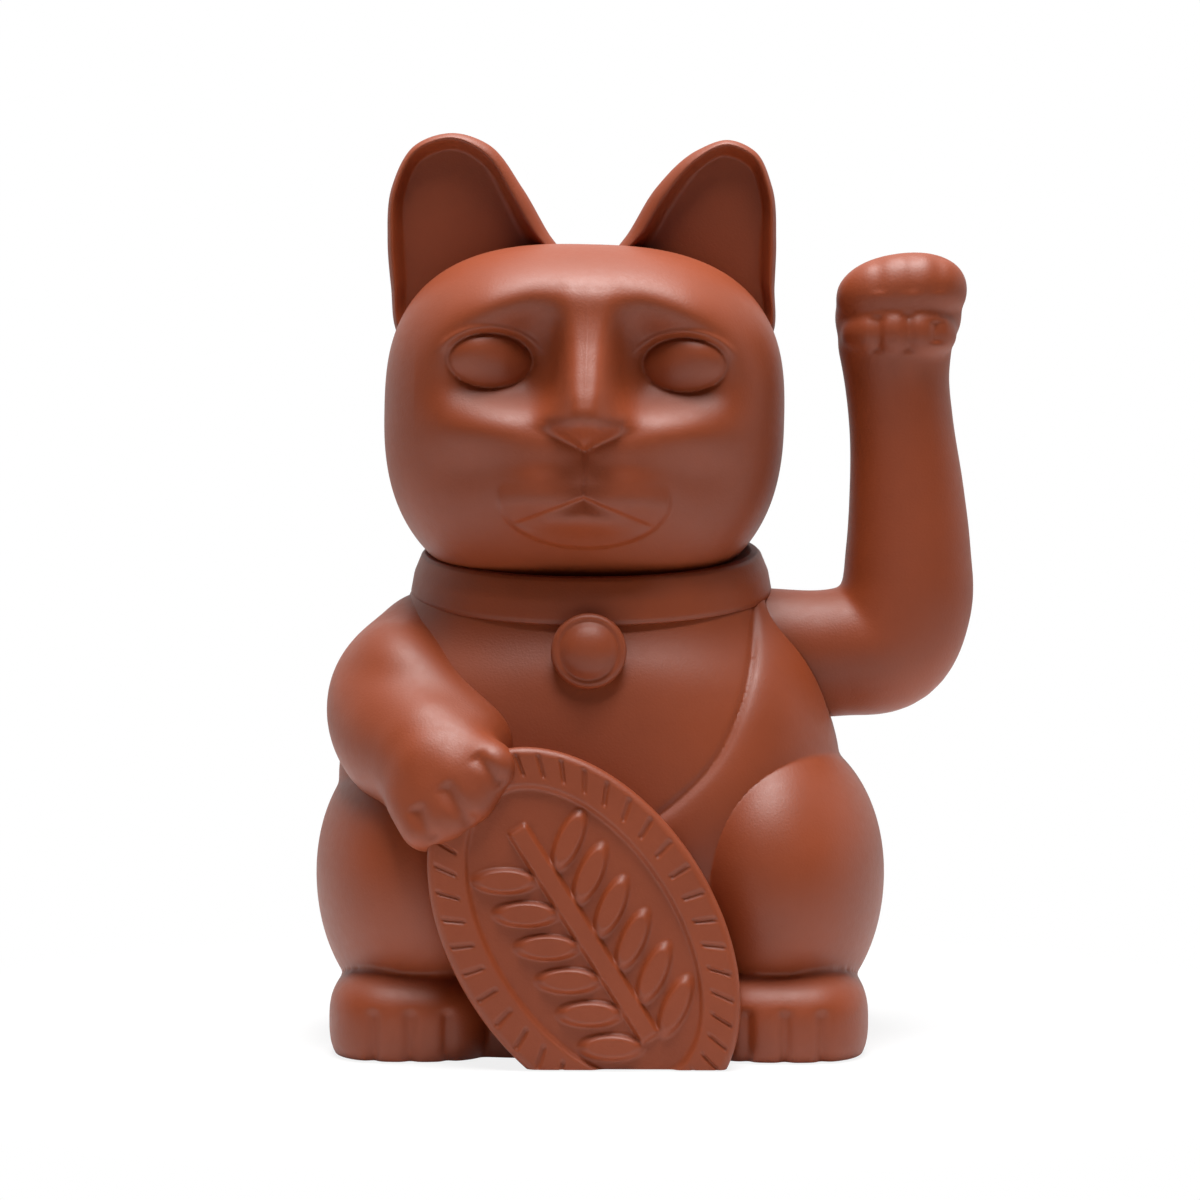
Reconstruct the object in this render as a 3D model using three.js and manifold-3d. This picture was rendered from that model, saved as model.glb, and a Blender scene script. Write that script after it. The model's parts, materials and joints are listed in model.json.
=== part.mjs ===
// Waving lucky cat: a hollow moulded figure whose raised arm rocks on a cross axle.
// Inside, a weighted pendulum with a magnet hangs from the axle over a coil on a small
// board, and one round cell in the base drives it.
// Millimetres, +Z up. X runs to the viewer's right, the cat faces -Y, and the origin
// is on the flat underside, below the middle of the body.

import * as THREE from "three";
import Module from "manifold-3d";
import { LoftGeometry } from "three/addons/geometries/LoftGeometry.js";
import { RoundedBoxGeometry } from "three/addons/geometries/RoundedBoxGeometry.js";
import { mergeVertices } from "three/addons/utils/BufferGeometryUtils.js";

const wasm = await Module();
wasm.setup();

// Moulding
const WALL = 2.2;
const PARTING_Y = 3;
const PARTING_GAP = 0.3;
const SEAT_GAP = 0.3;
const RUNNING_GAP = 0.25;

// Torso stations: height, half width, reach to the front and to the rear of the parting plane
const BASE_HALF_WIDTH = 39;
const BASE_FRONT = 35;
const BASE_REAR = 38;
const BELLY_HEIGHT = 24;
const BELLY_HALF_WIDTH = 40.5;
const BELLY_FRONT = 36;
const BELLY_REAR = 39.5;
const CHEST_HEIGHT = 50;
const CHEST_HALF_WIDTH = 41;
const CHEST_FRONT = 32.6;
const CHEST_REAR = 35.5;
const SHOULDERS_HEIGHT = 62;
const SHOULDERS_HALF_WIDTH = 36.4;
const SHOULDERS_FRONT = 29.6;
const SHOULDERS_REAR = 31.5;
const THROAT_HEIGHT = 70;
const THROAT_HALF_WIDTH = 31.6;
const THROAT_FRONT = 26.6;
const THROAT_REAR = 27.4;
const NECK_HEIGHT = 77;
const NECK_HALF_WIDTH = 28.4;
const NECK_DEPTH = 24.7;
const TORSO_SQUARENESS = 2.6;
const NECK_SQUARENESS = 2.05;

// Haunches, feet and tail
const LEGS_SHIFT_X = 1.8;
const HAUNCH_X = 28.3;
const HAUNCH_Y = -3;
const HAUNCH_Z = 26;
const HAUNCH_HALF_WIDTH = 19;
const HAUNCH_HALF_DEPTH = 32.5;
const HAUNCH_HALF_HEIGHT = 24.8;
const HAUNCH_SQUARENESS = 2.05;
const HAUNCH_LEAN = THREE.MathUtils.degToRad(4);
const FOOT_X = 29.8;
const FOOT_Z = 5;
const FOOT_WIDTH = 28;
const FOOT_LENGTH = 39.6;
const FOOT_TOP = 14.4;
const FOOT_FRONT_Y = -37.2;
const FOOT_SQUARENESS = 2.9;
const TOE_GROOVES = 3;
const TOE_GROOVE_PITCH = 6;
const TOE_GROOVE_RADIUS = 0.7;
const TAIL_ROOT_X = -3;
const TAIL_BEND_X = 13;
const TAIL_LOW_Z = 8.5;
const TAIL_TIP_Z = 26;
const TAIL_RADIUS = 5.7;
const TAIL_TIP_RADIUS = 4.6;
const TAIL_PROUD = 3.8;
const TAIL_SINK = 3;

// Collar and bell
const COLLAR_TILT = THREE.MathUtils.degToRad(8.5);
const COLLAR_SEAT_Z = 73.8;
const COLLAR_HEIGHT = 6.4;
const COLLAR_RADIUS = 29;
const COLLAR_FLARE = 1.2;
const COLLAR_WALL = 2.6;
const COLLAR_DEPTH_RATIO = 0.897;
const DECK_THICKNESS = 2.4;
const COLLAR_SINK = 1;
const BELL_RADIUS = 6.1;
const BELL_THICKNESS = 3.2;
const BELL_EDGE = 1;
const BELL_BUTTON_RADIUS = 4.6;
const BELL_BUTTON_RISE = 1.9;
const BELL_BUTTON_EDGE = 1.4;
const BELL_SINK = 1.2;
const BELL_DROP = 8.6;

// Head, ears and face, measured from the middle of the head
const HEAD_X = -0.9;
const HEAD_Z = 103;
const HEAD_HALF_WIDTH = 33.3;
const HEAD_UP = 28.2;
const HEAD_DOWN = 31.5;
const HEAD_FRONT = 30;
const HEAD_REAR = 29;
const HEAD_SQUARENESS = 2.7;
const HEAD_LEAN = THREE.MathUtils.degToRad(1.3);
const SPIGOT_RADIUS = 18;
const SPIGOT_LENGTH = 5;
const HEAD_POLE_TURN = 0.12;
const FACE_POLE_TURN = 0.04;
const EAR_OUTER_INSET = 0.4;
const EAR_RISE = 18.4;
const EAR_TIP_X = 22.6;
const EAR_TIP_ROUND = 6;
const EAR_SHOULDER_DROP = 15.6;
const EAR_WAIST_X = 9.5;
const EAR_WAIST_DROP = 11.6;
const EAR_WAIST_BOW = 3.5;
const EAR_INNER_X = 4.5;
const EAR_INNER_SINK = 2;
const EAR_ROOT_Z = 6;
const EAR_ROOT_INSET = 3.3;
const EAR_ROOT_INNER_X = 12.5;
const EAR_SIDE_Z = 17;
const EAR_THICKNESS = 10;
const EAR_EDGE = 2.2;
const EAR_DISH = 3.4;
const EAR_DISH_X = 20.3;
const EAR_DISH_HALF_WIDTH = 10;
const EAR_DISH_HALF_HEIGHT = 17;
const FACE_X = 0.7;
const EYE_X = 15.7;
const EYE_Z = 8.3;
const EYE_HALF_WIDTH = 7;
const EYE_HALF_HEIGHT = 4.6;
const EYE_BULGE = 2.2;
const SOCKET_X = 13;
const SOCKET_Z = 9.6;
const SOCKET_HALF_WIDTH = 10;
const SOCKET_HALF_HEIGHT = 7.6;
const SOCKET_DEPTH = 5.4;
const BROW_Z = 20;
const BROW_BEND = 40;
const BROW_HALF_WIDTH = 25;
const BROW_HALF_HEIGHT = 5;
const BROW_RISE = 3.4;
const BRIDGE_HALF_WIDTH = 4.4;
const BRIDGE_RISE = 4;
const NOSE_Z = 1.4;
const NOSE_HALF_WIDTH = 5.6;
const NOSE_RISE = 6.8;
const NOSE_UNDER_Z = -2.2;
const NOSE_UNDER_RISE = 4.4;
const NOSE_LOW_Z = -5.6;
const NOSE_LOW_HALF_WIDTH = 2.4;
const NOSE_SQUARENESS = 2.4;
const CHEEK_X = 15.5;
const CHEEK_Z = -2;
const CHEEK_HALF_WIDTH = 10.5;
const CHEEK_HALF_HEIGHT = 4.8;
const CHEEK_RISE = 2;
const MUZZLE_X = 6.4;
const MUZZLE_Z = -11.6;
const MUZZLE_HALF_WIDTH = 9;
const MUZZLE_HALF_HEIGHT = 6.6;
const MUZZLE_RISE = 2.6;
const CHIN_Z = -18.2;
const CHIN_HALF_WIDTH = 9;
const CHIN_HALF_HEIGHT = 3.6;
const CHIN_RISE = 1.2;

// Resting arm, its paw and the coin that it holds
const REST_SHOULDER_X = -26;
const REST_SHOULDER_Y = 2;
const REST_SHOULDER_Z = 62.6;
const REST_SHOULDER_RADIUS = 11.3;
const REST_ELBOW_X = -30.4;
const REST_ELBOW_Y = -8;
const REST_ELBOW_Z = 56;
const REST_ELBOW_RADIUS = 12.8;
const REST_FOREARM_X = -28.6;
const REST_FOREARM_Y = -19;
const REST_FOREARM_Z = 50.6;
const REST_FOREARM_RADIUS = 12.2;
const REST_PAW_X = -23;
const REST_PAW_Y = -30;
const REST_PAW_Z = 46.6;
const REST_PAW_RADIUS = 9.6;
const REST_FINGERS = 4;
const REST_FAN_X = -25.5;
const REST_FAN_Z = 49;
const REST_FAN_START = THREE.MathUtils.degToRad(-87);
const REST_FAN_PITCH = THREE.MathUtils.degToRad(25);
const REST_KNUCKLE_REACH = 6;
const REST_KNUCKLE_Y = -35.6;
const REST_KNUCKLE_RADIUS = 4.8;
const REST_FINGER_REACH = 10.4;
const REST_FINGER_Y = -38.6;
const REST_FINGER_RADIUS = 3.9;
const COIN_X = -0.26;
const COIN_Z = 21.3;
const COIN_FRONT_Y = -42.2;
const COIN_HALF_WIDTH = 20.9;
const COIN_HALF_LENGTH = 32.2;
const COIN_DEPTH = 16;
const COIN_EDGE = 1.2;
const COIN_RIM = 6.2;
const COIN_FIELD_DEPTH = 1;
const COIN_LEAN = THREE.MathUtils.degToRad(32.8);
const COIN_SLOPE = THREE.MathUtils.degToRad(5);

// Waving arm, measured from its pivot
const PIVOT_Z = 63.3;
const SHOULDER_X = 27.5;
const SHOULDER_RADIUS = 10.75;
const SHOULDER_CLEARANCE = 0.9;
const SHOULDER_FLOOR = 2.4;
const ARM_WALL = 1.8;
const ELBOW_X = 49.8;
const ELBOW_RISE = 1.6;
const ELBOW_RADIUS = 11.3;
const ARM_X = 53.5;
const ARM_RISE = 16;
const ARM_RADIUS = 11.1;
const FOREARM_RADIUS = 9.6;
const WRIST_X = 51.4;
const WRIST_RADIUS = 8.8;
const WRIST_RISE = 46;
const PAW_X = 51.6;
const PAW_RISE = 56.4;
const PAW_RADIUS = 10;
const FINGERS = 4;
const FINGER_PITCH = 4.9;
const FINGER_RADIUS = 2.9;
const FINGER_CURL = 7;
const FINGER_SINK = 2.2;
const KNUCKLE_Y = -4;
const ARM_BOSS_RADIUS = 4;
const ARM_BOSS_DEPTH = 10;

// Axle, pendulum and counterweight
const AXLE_RADIUS = 1.5;
const AXLE_END_X = 6.8;
const WEB_X = 9.4;
const WEB_THICKNESS = 2.6;
const WEB_HEIGHT = 18;
const CLIP_RADIUS = 3;
const CLIP_THICKNESS = 0.8;
const LEVER_X = 17.8;
const LEVER_THICKNESS = 5;
const LEVER_HUB_RADIUS = 4.5;
const LEVER_HUB_LENGTH = 10;
const LEVER_WIDTH = 6;
const LEVER_TAPER = 1;
const MAGNET_AIR_GAP = 4.9;
const MAGNET_RADIUS = 5;
const MAGNET_HEIGHT = 4;
const MAGNET_CUP_WALL = 1.2;
const WEIGHT_WIDTH = 14;
const WEIGHT_HEIGHT = 14;
const WEIGHT_THICKNESS = 8;
const WEIGHT_EDGE = 1;
const WEIGHT_OFFSET_Y = 0.6;
const WEIGHT_PEG_RADIUS = 1.6;

// Base, battery bay and board
const BASE_THICKNESS = 2.4;
const CELL_RADIUS = 7.25;
const CELL_LENGTH = 50.5;
const CELL_EDGE = 0.4;
const CELL_NUB_RADIUS = 2.7;
const CELL_NUB_LENGTH = 1.3;
const CELL_X = -12.5;
const CELL_Y = 3.9;
const BAY_WALL = 1.6;
const BAY_SIDE_GAP = 0.6;
const CONTACT_THICKNESS = 0.5;
const CONTACT_WIDTH = 11;
const SPRING_LENGTH = 3.6;
const SPRING_TURNS = 3;
const SPRING_WIRE = 0.45;
const SPRING_BASE_RADIUS = 4.5;
const SPRING_TIP_RADIUS = 2.6;
const DOOR_THICKNESS = 1.8;
const DOOR_RECESS = 0.4;
const DOOR_GAP = 0.4;
const DOOR_PIN_RADIUS = 0.8;
const DOOR_PIN_LENGTH = 1.4;
const DOOR_GRIP_GROOVES = 4;
const DOOR_GRIP_START = 4;
const DOOR_GRIP_PITCH = 2;
const DOOR_GRIP_WIDTH = 0.9;
const DOOR_GRIP_DEPTH = 0.5;
const BOARD_WIDTH = 28;
const BOARD_LENGTH = 24;
const BOARD_THICKNESS = 1.4;
const BOARD_POST_HEIGHT = 3;
const BOARD_POST_RADIUS = 2.8;
const BOARD_EDGE = 1;
const BOBBIN_RADIUS = 7;
const BOBBIN_CORE_RADIUS = 3;
const BOBBIN_HEIGHT = 7;
const BOBBIN_FLANGE = 0.9;
const COIL_RADIUS = 6.4;
const CHIP_LENGTH = 5;
const CHIP_WIDTH = 4;
const CHIP_HEIGHT = 1.5;
const CAPACITOR_RADIUS = 2;
const CAPACITOR_HEIGHT = 5;
const LEAD_RADIUS = 0.55;
const LEAD_SPACE = 1;
const LEAD_DROP = 4;
const LEAD_BOARD_INSET = 3;

// Screws
const SCREW_RADIUS = 1.25;
const SCREW_LENGTH = 9;
const SCREW_HEAD_RADIUS = 2.6;
const SCREW_HEAD_HEIGHT = 1.2;
const SCREW_HEAD_EDGE = 0.6;
const SCREW_RECESS = 0.3;
const BOARD_SCREW_LENGTH = 4;
const BOSS_RADIUS = 3.4;
const BOSS_HEIGHT = 11;
const GUSSET_THICKNESS = 2.4;
const FRONT_BOSS_X = 33.5;
const FRONT_BOSS_Y = -21;
const REAR_BOSS_X = 29;
const REAR_BOSS_Y = 19.5;

// Facets
const HEAD_COLUMNS = 44;
const HEAD_ROWS = 7;
const FACE_ROWS = 22;
const DISH_COLUMNS = 12;
const DISH_ROWS = 7;
const TORSO_COLUMNS = 30;
const TORSO_ROWS = 9;
const HAUNCH_COLUMNS = 16;
const HAUNCH_ROWS = 10;
const FOOT_COLUMNS = 16;
const FOOT_ROWS = 10;
const LIMB_COLUMNS = 14;
const REST_ARM_STEPS = 8;
const UPPER_ARM_STEPS = 4;
const WAVING_ARM_STEPS = 10;
const TAIL_STEPS = 5;
const FINGER_STEPS = 3;
const FINGER_COLUMNS = 8;
const DOME_ROWS = 3;
const DOME_FLAT = 0.4;
const ROUND_SIDES = 16;
const SMALL_SIDES = 8;
const COLLAR_COLUMNS = 28;
const EAR_SEGMENTS = 6;
const EDGE_SEGMENTS = 2;
const COIN_SEGMENTS = 18;
const SPRING_SIDES = 5;
const SPRING_STEPS = 24;
const LEAD_STEPS = 11;
const HOLLOW_SHARE = 0.45;
const SHORTEST_EDGE = 0.03;
const WELD_DISTANCE = 1e-4;
const CURVE_STEP = 1e-5;

// A size far outside the figure, for boxes that cut half of it away, and how far a cut runs past a face
const BEYOND = 400;
const OVERCUT = 1;

// Finishes
const finish = (color, roughness, metalness) => ({ color, roughness, metalness });
const TERRACOTTA = finish(0x9c5f47, 0.5, 0);
const DARK_PLASTIC = finish(0x2b2a2a, 0.55, 0);
const STEEL = finish(0xa8abad, 0.35, 0.95);
const COPPER = finish(0xb0673c, 0.4, 0.9);
const FERRITE = finish(0x3a3a3c, 0.6, 0.2);
const LAMINATE = finish(0x9a7a42, 0.6, 0);
const CELL_JACKET = finish(0x3f4a52, 0.35, 0.2);
const RED_WIRE = finish(0xa3231f, 0.5, 0);
const BLACK_WIRE = finish(0x1d1d1f, 0.5, 0);

// Closed surface to solid, with its faces turned outwards
function solid(geometry) {
  const bare = new THREE.BufferGeometry();
  bare.setAttribute("position", geometry.attributes.position);
  if (geometry.index) bare.setIndex(geometry.index);
  const merged = mergeVertices(bare, WELD_DISTANCE);
  const points = merged.attributes.position.array;
  const index = merged.index.array;
  const corners = [];
  let volume = 0;
  for (let i = 0; i < index.length; i += 3) {
    const [a, b, c] = [index[i], index[i + 1], index[i + 2]];
    if (a === b || b === c || c === a) continue;
    corners.push(a, b, c);
    const p = new THREE.Vector3().fromArray(points, 3 * a);
    const q = new THREE.Vector3().fromArray(points, 3 * b);
    const r = new THREE.Vector3().fromArray(points, 3 * c);
    volume += p.dot(q.cross(r));
  }
  if (volume < 0) corners.reverse();
  const vertProperties = new Float32Array(points);
  const triVerts = new Uint32Array(corners);
  return new wasm.Manifold(new wasm.Mesh({ numProp: 3, vertProperties, triVerts }));
}

// Solid back to a surface that a mesh can show, with edges too short to matter drawn together
function surface(body) {
  const { vertProperties, triVerts } = body.getMesh();
  const owner = Uint32Array.from({ length: vertProperties.length / 3 }, (_, i) => i);
  const ownerOf = (i) => (owner[i] === i ? i : ownerOf(owner[i]));
  const place = (i) => new THREE.Vector3().fromArray(vertProperties, 3 * i);
  triVerts.forEach((a, i) => {
    const b = triVerts[i % 3 === 2 ? i - 2 : i + 1];
    if (place(a).distanceTo(place(b)) < SHORTEST_EDGE) owner[ownerOf(a)] = ownerOf(b);
  });
  const corners = [];
  for (let i = 0; i < triVerts.length; i += 3) {
    const [a, b, c] = Array.from(triVerts.subarray(i, i + 3), ownerOf);
    if (a !== b && b !== c && c !== a) corners.push(a, b, c);
  }
  const geometry = new THREE.BufferGeometry();
  geometry.setAttribute("position", new THREE.BufferAttribute(vertProperties, 3));
  geometry.setIndex(corners);
  geometry.computeVertexNormals();
  return geometry;
}

const joinAll = (bodies) => bodies.reduce((whole, body) => whole.add(body));

// Box between two corners
function block(low, high) {
  const size = high.map((value, axis) => value - low[axis]);
  const middle = high.map((value, axis) => (value + low[axis]) / 2);
  return solid(new THREE.BoxGeometry(...size).translate(...middle));
}

// Round bar along one axis, from a start point
function bar(axis, start, length, radius, sides = ROUND_SIDES) {
  const geometry = new THREE.CylinderGeometry(radius, radius, length, sides);
  geometry.translate(0, length / 2, 0);
  if (axis === "x") geometry.rotateZ(-Math.PI / 2);
  if (axis === "z") geometry.rotateX(Math.PI / 2);
  return solid(geometry.translate(...start));
}

// Ball with full corners: each direction is drawn out until the powers of its parts add up to one
function squareBall(centre, radii, squareness, columns, rows, lean = 0) {
  const ball = new THREE.SphereGeometry(1, columns, rows);
  const places = ball.attributes.position;
  for (let i = 0; i < places.count; i++) {
    const way = new THREE.Vector3().fromBufferAttribute(places, i);
    const sum = way.toArray().reduce((total, part) => total + Math.abs(part) ** squareness, 0);
    places.setXYZ(i, ...way.multiplyScalar(sum ** (-1 / squareness)));
  }
  return solid(ball.scale(...radii).rotateY(lean).translate(...centre));
}

// Half of a body on the front (-1) or rear (+1) side of the parting plane
function half(body, side, plane) {
  const inner = plane + side * PARTING_GAP / 2;
  const low = side > 0 ? inner : -BEYOND;
  const high = side > 0 ? BEYOND : inner;
  return body.intersect(block([-BEYOND, low, -BEYOND], [BEYOND, high, BEYOND]));
}

// Facets along one direction of a form: the hollow inside a wall needs fewer than its outside
const facets = (count, inset) => (inset > 0 ? 2 * Math.round(count * HOLLOW_SHARE / 2) : count);

const signedPower = (value, power) => Math.sign(value) * Math.abs(value) ** power;

// Smooth value through stations of [place, value]
function through(stations) {
  const curve = new THREE.SplineCurve(stations.map(([place, value]) => new THREE.Vector2(place, value)));
  const first = stations[0][0];
  const last = stations[stations.length - 1][0];
  return (place) => {
    let low = 0;
    let high = 1;
    while (high - low > CURVE_STEP) {
      const middle = (low + high) / 2;
      if (curve.getPoint(middle).x < THREE.MathUtils.clamp(place, first, last)) low = middle;
      else high = middle;
    }
    return curve.getPoint(low).y;
  };
}

// Round limb along a smooth path; an end is flat, or a dome of the limb's own radius
function limb(points, radii, steps, columns, domes) {
  const path = new THREE.CatmullRomCurve3(points.map((point) => new THREE.Vector3(...point)));
  const { tangents, normals, binormals } = path.computeFrenetFrames(steps);
  const radiusAt = through(radii.map((radius, i) => [i / (radii.length - 1), radius]));
  const rings = [];
  const addRing = (step, along, radius) => {
    const middle = path.getPointAt(step / steps).addScaledVector(tangents[step], along);
    const ring = [];
    for (let i = 0; i < columns; i++) {
      const angle = 2 * Math.PI * i / columns;
      const point = middle.clone();
      point.addScaledVector(normals[step], radius * Math.cos(angle));
      point.addScaledVector(binormals[step], radius * Math.sin(angle));
      ring.push(point);
    }
    rings.push(ring);
  };
  const addDome = (step, side) => {
    const radius = radiusAt(step / steps);
    for (let k = 1; k <= DOME_ROWS; k++) {
      const rise = (side < 0 ? DOME_ROWS + 1 - k : k) / (DOME_ROWS + DOME_FLAT) * Math.PI / 2;
      addRing(step, side * radius * Math.sin(rise), radius * Math.cos(rise));
    }
  };
  if (domes.start) addDome(0, -1);
  for (let step = 0; step <= steps; step++) addRing(step, 0, radiusAt(step / steps));
  if (domes.end) addDome(steps, 1);
  return solid(new LoftGeometry(rings, { capStart: true, capEnd: true }));
}

// Smooth value up the torso, through its stations from the base to the neck
function upTorso(base, belly, chest, shoulders, throat, neck) {
  return through([
    [-BELLY_HEIGHT, base],
    [0, base],
    [BELLY_HEIGHT, belly],
    [CHEST_HEIGHT, chest],
    [SHOULDERS_HEIGHT, shoulders],
    [THROAT_HEIGHT, throat],
    [NECK_HEIGHT, neck],
    [NECK_HEIGHT + COLLAR_HEIGHT, neck],
  ]);
}

const torsoHalfWidth = upTorso(
  BASE_HALF_WIDTH, BELLY_HALF_WIDTH, CHEST_HALF_WIDTH, SHOULDERS_HALF_WIDTH, THROAT_HALF_WIDTH, NECK_HALF_WIDTH,
);
const torsoFront = upTorso(BASE_FRONT, BELLY_FRONT, CHEST_FRONT, SHOULDERS_FRONT, THROAT_FRONT, NECK_DEPTH);
const torsoRear = upTorso(BASE_REAR, BELLY_REAR, CHEST_REAR, SHOULDERS_REAR, THROAT_REAR, NECK_DEPTH);

// Torso: superellipse sections lofted upwards, rounder towards the neck, inset for the hollow
function torso(inset) {
  const low = -BASE_THICKNESS;
  const high = NECK_HEIGHT + COLLAR_HEIGHT;
  const rows = TORSO_ROWS;
  const columns = facets(TORSO_COLUMNS, inset);
  const rings = [];
  for (let row = 0; row <= rows; row++) {
    const z = low + (high - low) * row / rows;
    const roundness = THREE.MathUtils.smoothstep(z, CHEST_HEIGHT, THROAT_HEIGHT);
    const power = 2 / THREE.MathUtils.lerp(TORSO_SQUARENESS, NECK_SQUARENESS, roundness);
    const halfWidth = torsoHalfWidth(z) - inset;
    const ring = [];
    for (let i = 0; i < columns; i++) {
      const angle = 2 * Math.PI * i / columns;
      const across = signedPower(Math.sin(angle), power);
      const along = signedPower(Math.cos(angle), power);
      const reach = (along > 0 ? torsoFront(z) : torsoRear(z)) - inset;
      ring.push(new THREE.Vector3(halfWidth * across, PARTING_Y - reach * along, z));
    }
    rings.push(ring);
  }
  return solid(new LoftGeometry(rings, { capStart: true, capEnd: true }));
}

function haunch(side, inset) {
  const radii = [HAUNCH_HALF_WIDTH, HAUNCH_HALF_DEPTH, HAUNCH_HALF_HEIGHT].map((length) => length - inset);
  const centre = [LEGS_SHIFT_X + side * HAUNCH_X, HAUNCH_Y, HAUNCH_Z];
  const counts = [HAUNCH_COLUMNS, HAUNCH_ROWS].map((count) => facets(count, inset));
  return squareBall(centre, radii, HAUNCH_SQUARENESS, ...counts, side * HAUNCH_LEAN);
}

// Foot: a flat form with full corners that runs on below the ground, where the figure is cut flat
function foot(side, inset) {
  const radii = [FOOT_WIDTH / 2, FOOT_LENGTH / 2, FOOT_TOP - FOOT_Z].map((length) => length - inset);
  const centre = [LEGS_SHIFT_X + side * FOOT_X, FOOT_FRONT_Y + FOOT_LENGTH / 2, FOOT_Z];
  const counts = [FOOT_COLUMNS, FOOT_ROWS].map((count) => facets(count, inset));
  return squareBall(centre, radii, FOOT_SQUARENESS, ...counts);
}

// Grooves between the toes, cut into the front of a foot
function toeGrooves(side) {
  const grooves = [];
  for (let i = 0; i < TOE_GROOVES; i++) {
    const x = LEGS_SHIFT_X + side * FOOT_X + (i - (TOE_GROOVES - 1) / 2) * TOE_GROOVE_PITCH;
    const start = [x, FOOT_FRONT_Y, -OVERCUT];
    grooves.push(bar("z", start, FOOT_TOP / 2 + OVERCUT, TOE_GROOVE_RADIUS, SMALL_SIDES / 2));
  }
  return grooves;
}

// Resting arm: from the shoulder down and forward to the paw on the coin
const REST_ARM_PATH = [
  [REST_SHOULDER_X, REST_SHOULDER_Y, REST_SHOULDER_Z],
  [REST_ELBOW_X, REST_ELBOW_Y, REST_ELBOW_Z],
  [REST_FOREARM_X, REST_FOREARM_Y, REST_FOREARM_Z],
  [REST_PAW_X, REST_PAW_Y, REST_PAW_Z],
];
const REST_ARM_RADII = [REST_SHOULDER_RADIUS, REST_ELBOW_RADIUS, REST_FOREARM_RADIUS, REST_PAW_RADIUS];

function restingArm(inset) {
  const shrunk = REST_ARM_RADII.map((radius) => radius - inset);
  const columns = facets(LIMB_COLUMNS, inset);
  return limb(REST_ARM_PATH, shrunk, REST_ARM_STEPS, columns, { start: true, end: true });
}

// Fingers of the resting paw, fanned over the coin: each from inside the paw over its knuckle to its tip
function restingFingers() {
  const fingers = [];
  const onFan = (reach, y, turn) => [REST_FAN_X + reach * Math.cos(turn), y, REST_FAN_Z + reach * Math.sin(turn)];
  const radii = [REST_KNUCKLE_RADIUS, REST_KNUCKLE_RADIUS, REST_FINGER_RADIUS];
  for (let i = 0; i < REST_FINGERS; i++) {
    const turn = REST_FAN_START + i * REST_FAN_PITCH;
    const knuckle = onFan(REST_KNUCKLE_REACH, REST_KNUCKLE_Y, turn);
    const tip = onFan(REST_FINGER_REACH, REST_FINGER_Y, turn);
    const path = [[REST_PAW_X, REST_PAW_Y, REST_PAW_Z], knuckle, tip];
    fingers.push(limb(path, radii, FINGER_STEPS, FINGER_COLUMNS, { start: false, end: true }));
  }
  return fingers;
}

// Coin: an oval plate that leans to one side and slopes back a little
function placeCoin(geometry) {
  geometry.rotateX(Math.PI / 2).rotateY(-COIN_LEAN).rotateX(-COIN_SLOPE);
  return geometry.translate(COIN_X, COIN_FRONT_Y, COIN_Z);
}

function oval(halfWidth, halfLength) {
  return new THREE.Shape().absellipse(0, 0, halfWidth, halfLength, 0, 2 * Math.PI);
}

function coin(inset) {
  const outline = oval(COIN_HALF_WIDTH - inset, COIN_HALF_LENGTH - inset);
  const edge = COIN_EDGE;
  const plate = new THREE.ExtrudeGeometry(outline, {
    depth: COIN_DEPTH - inset - 2 * edge,
    curveSegments: facets(COIN_SEGMENTS, inset),
    bevelSize: edge,
    bevelOffset: -edge,
    bevelThickness: edge,
    bevelSegments: facets(EDGE_SEGMENTS, inset) || 1,
  });
  return solid(placeCoin(plate.translate(0, 0, edge - COIN_DEPTH)));
}

function coinField() {
  const outline = oval(COIN_HALF_WIDTH - COIN_RIM, COIN_HALF_LENGTH - COIN_RIM);
  const depth = 2 * COIN_FIELD_DEPTH;
  const options = { depth, curveSegments: COIN_SEGMENTS, bevelEnabled: false };
  const cut = new THREE.ExtrudeGeometry(outline, options);
  return solid(placeCoin(cut.translate(0, 0, -COIN_FIELD_DEPTH)));
}

// Neck frame: the collar, the deck below it and the head's seat all tilt down to the front
function onNeck(geometry) {
  return geometry.rotateX(COLLAR_TILT).translate(0, PARTING_Y, COLLAR_SEAT_Z);
}

function ringProfile(profile, depthRatio = 1) {
  const points = profile.map(([radius, height]) => new THREE.Vector2(radius, height));
  const lathe = new THREE.LatheGeometry(points, COLLAR_COLUMNS);
  return solid(onNeck(lathe.rotateX(Math.PI / 2).scale(1, depthRatio, 1)));
}

function neckDisc(radius, low, high, depthRatio = 1) {
  return ringProfile([[0, low], [radius, low], [radius, high], [0, high]], depthRatio);
}

function collar() {
  const inner = COLLAR_RADIUS - COLLAR_WALL;
  return ringProfile([
    [inner, 0],
    [COLLAR_RADIUS + COLLAR_FLARE, 0],
    [COLLAR_RADIUS, COLLAR_HEIGHT],
    [inner, COLLAR_HEIGHT],
    [inner, 0],
  ], COLLAR_DEPTH_RATIO);
}

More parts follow.
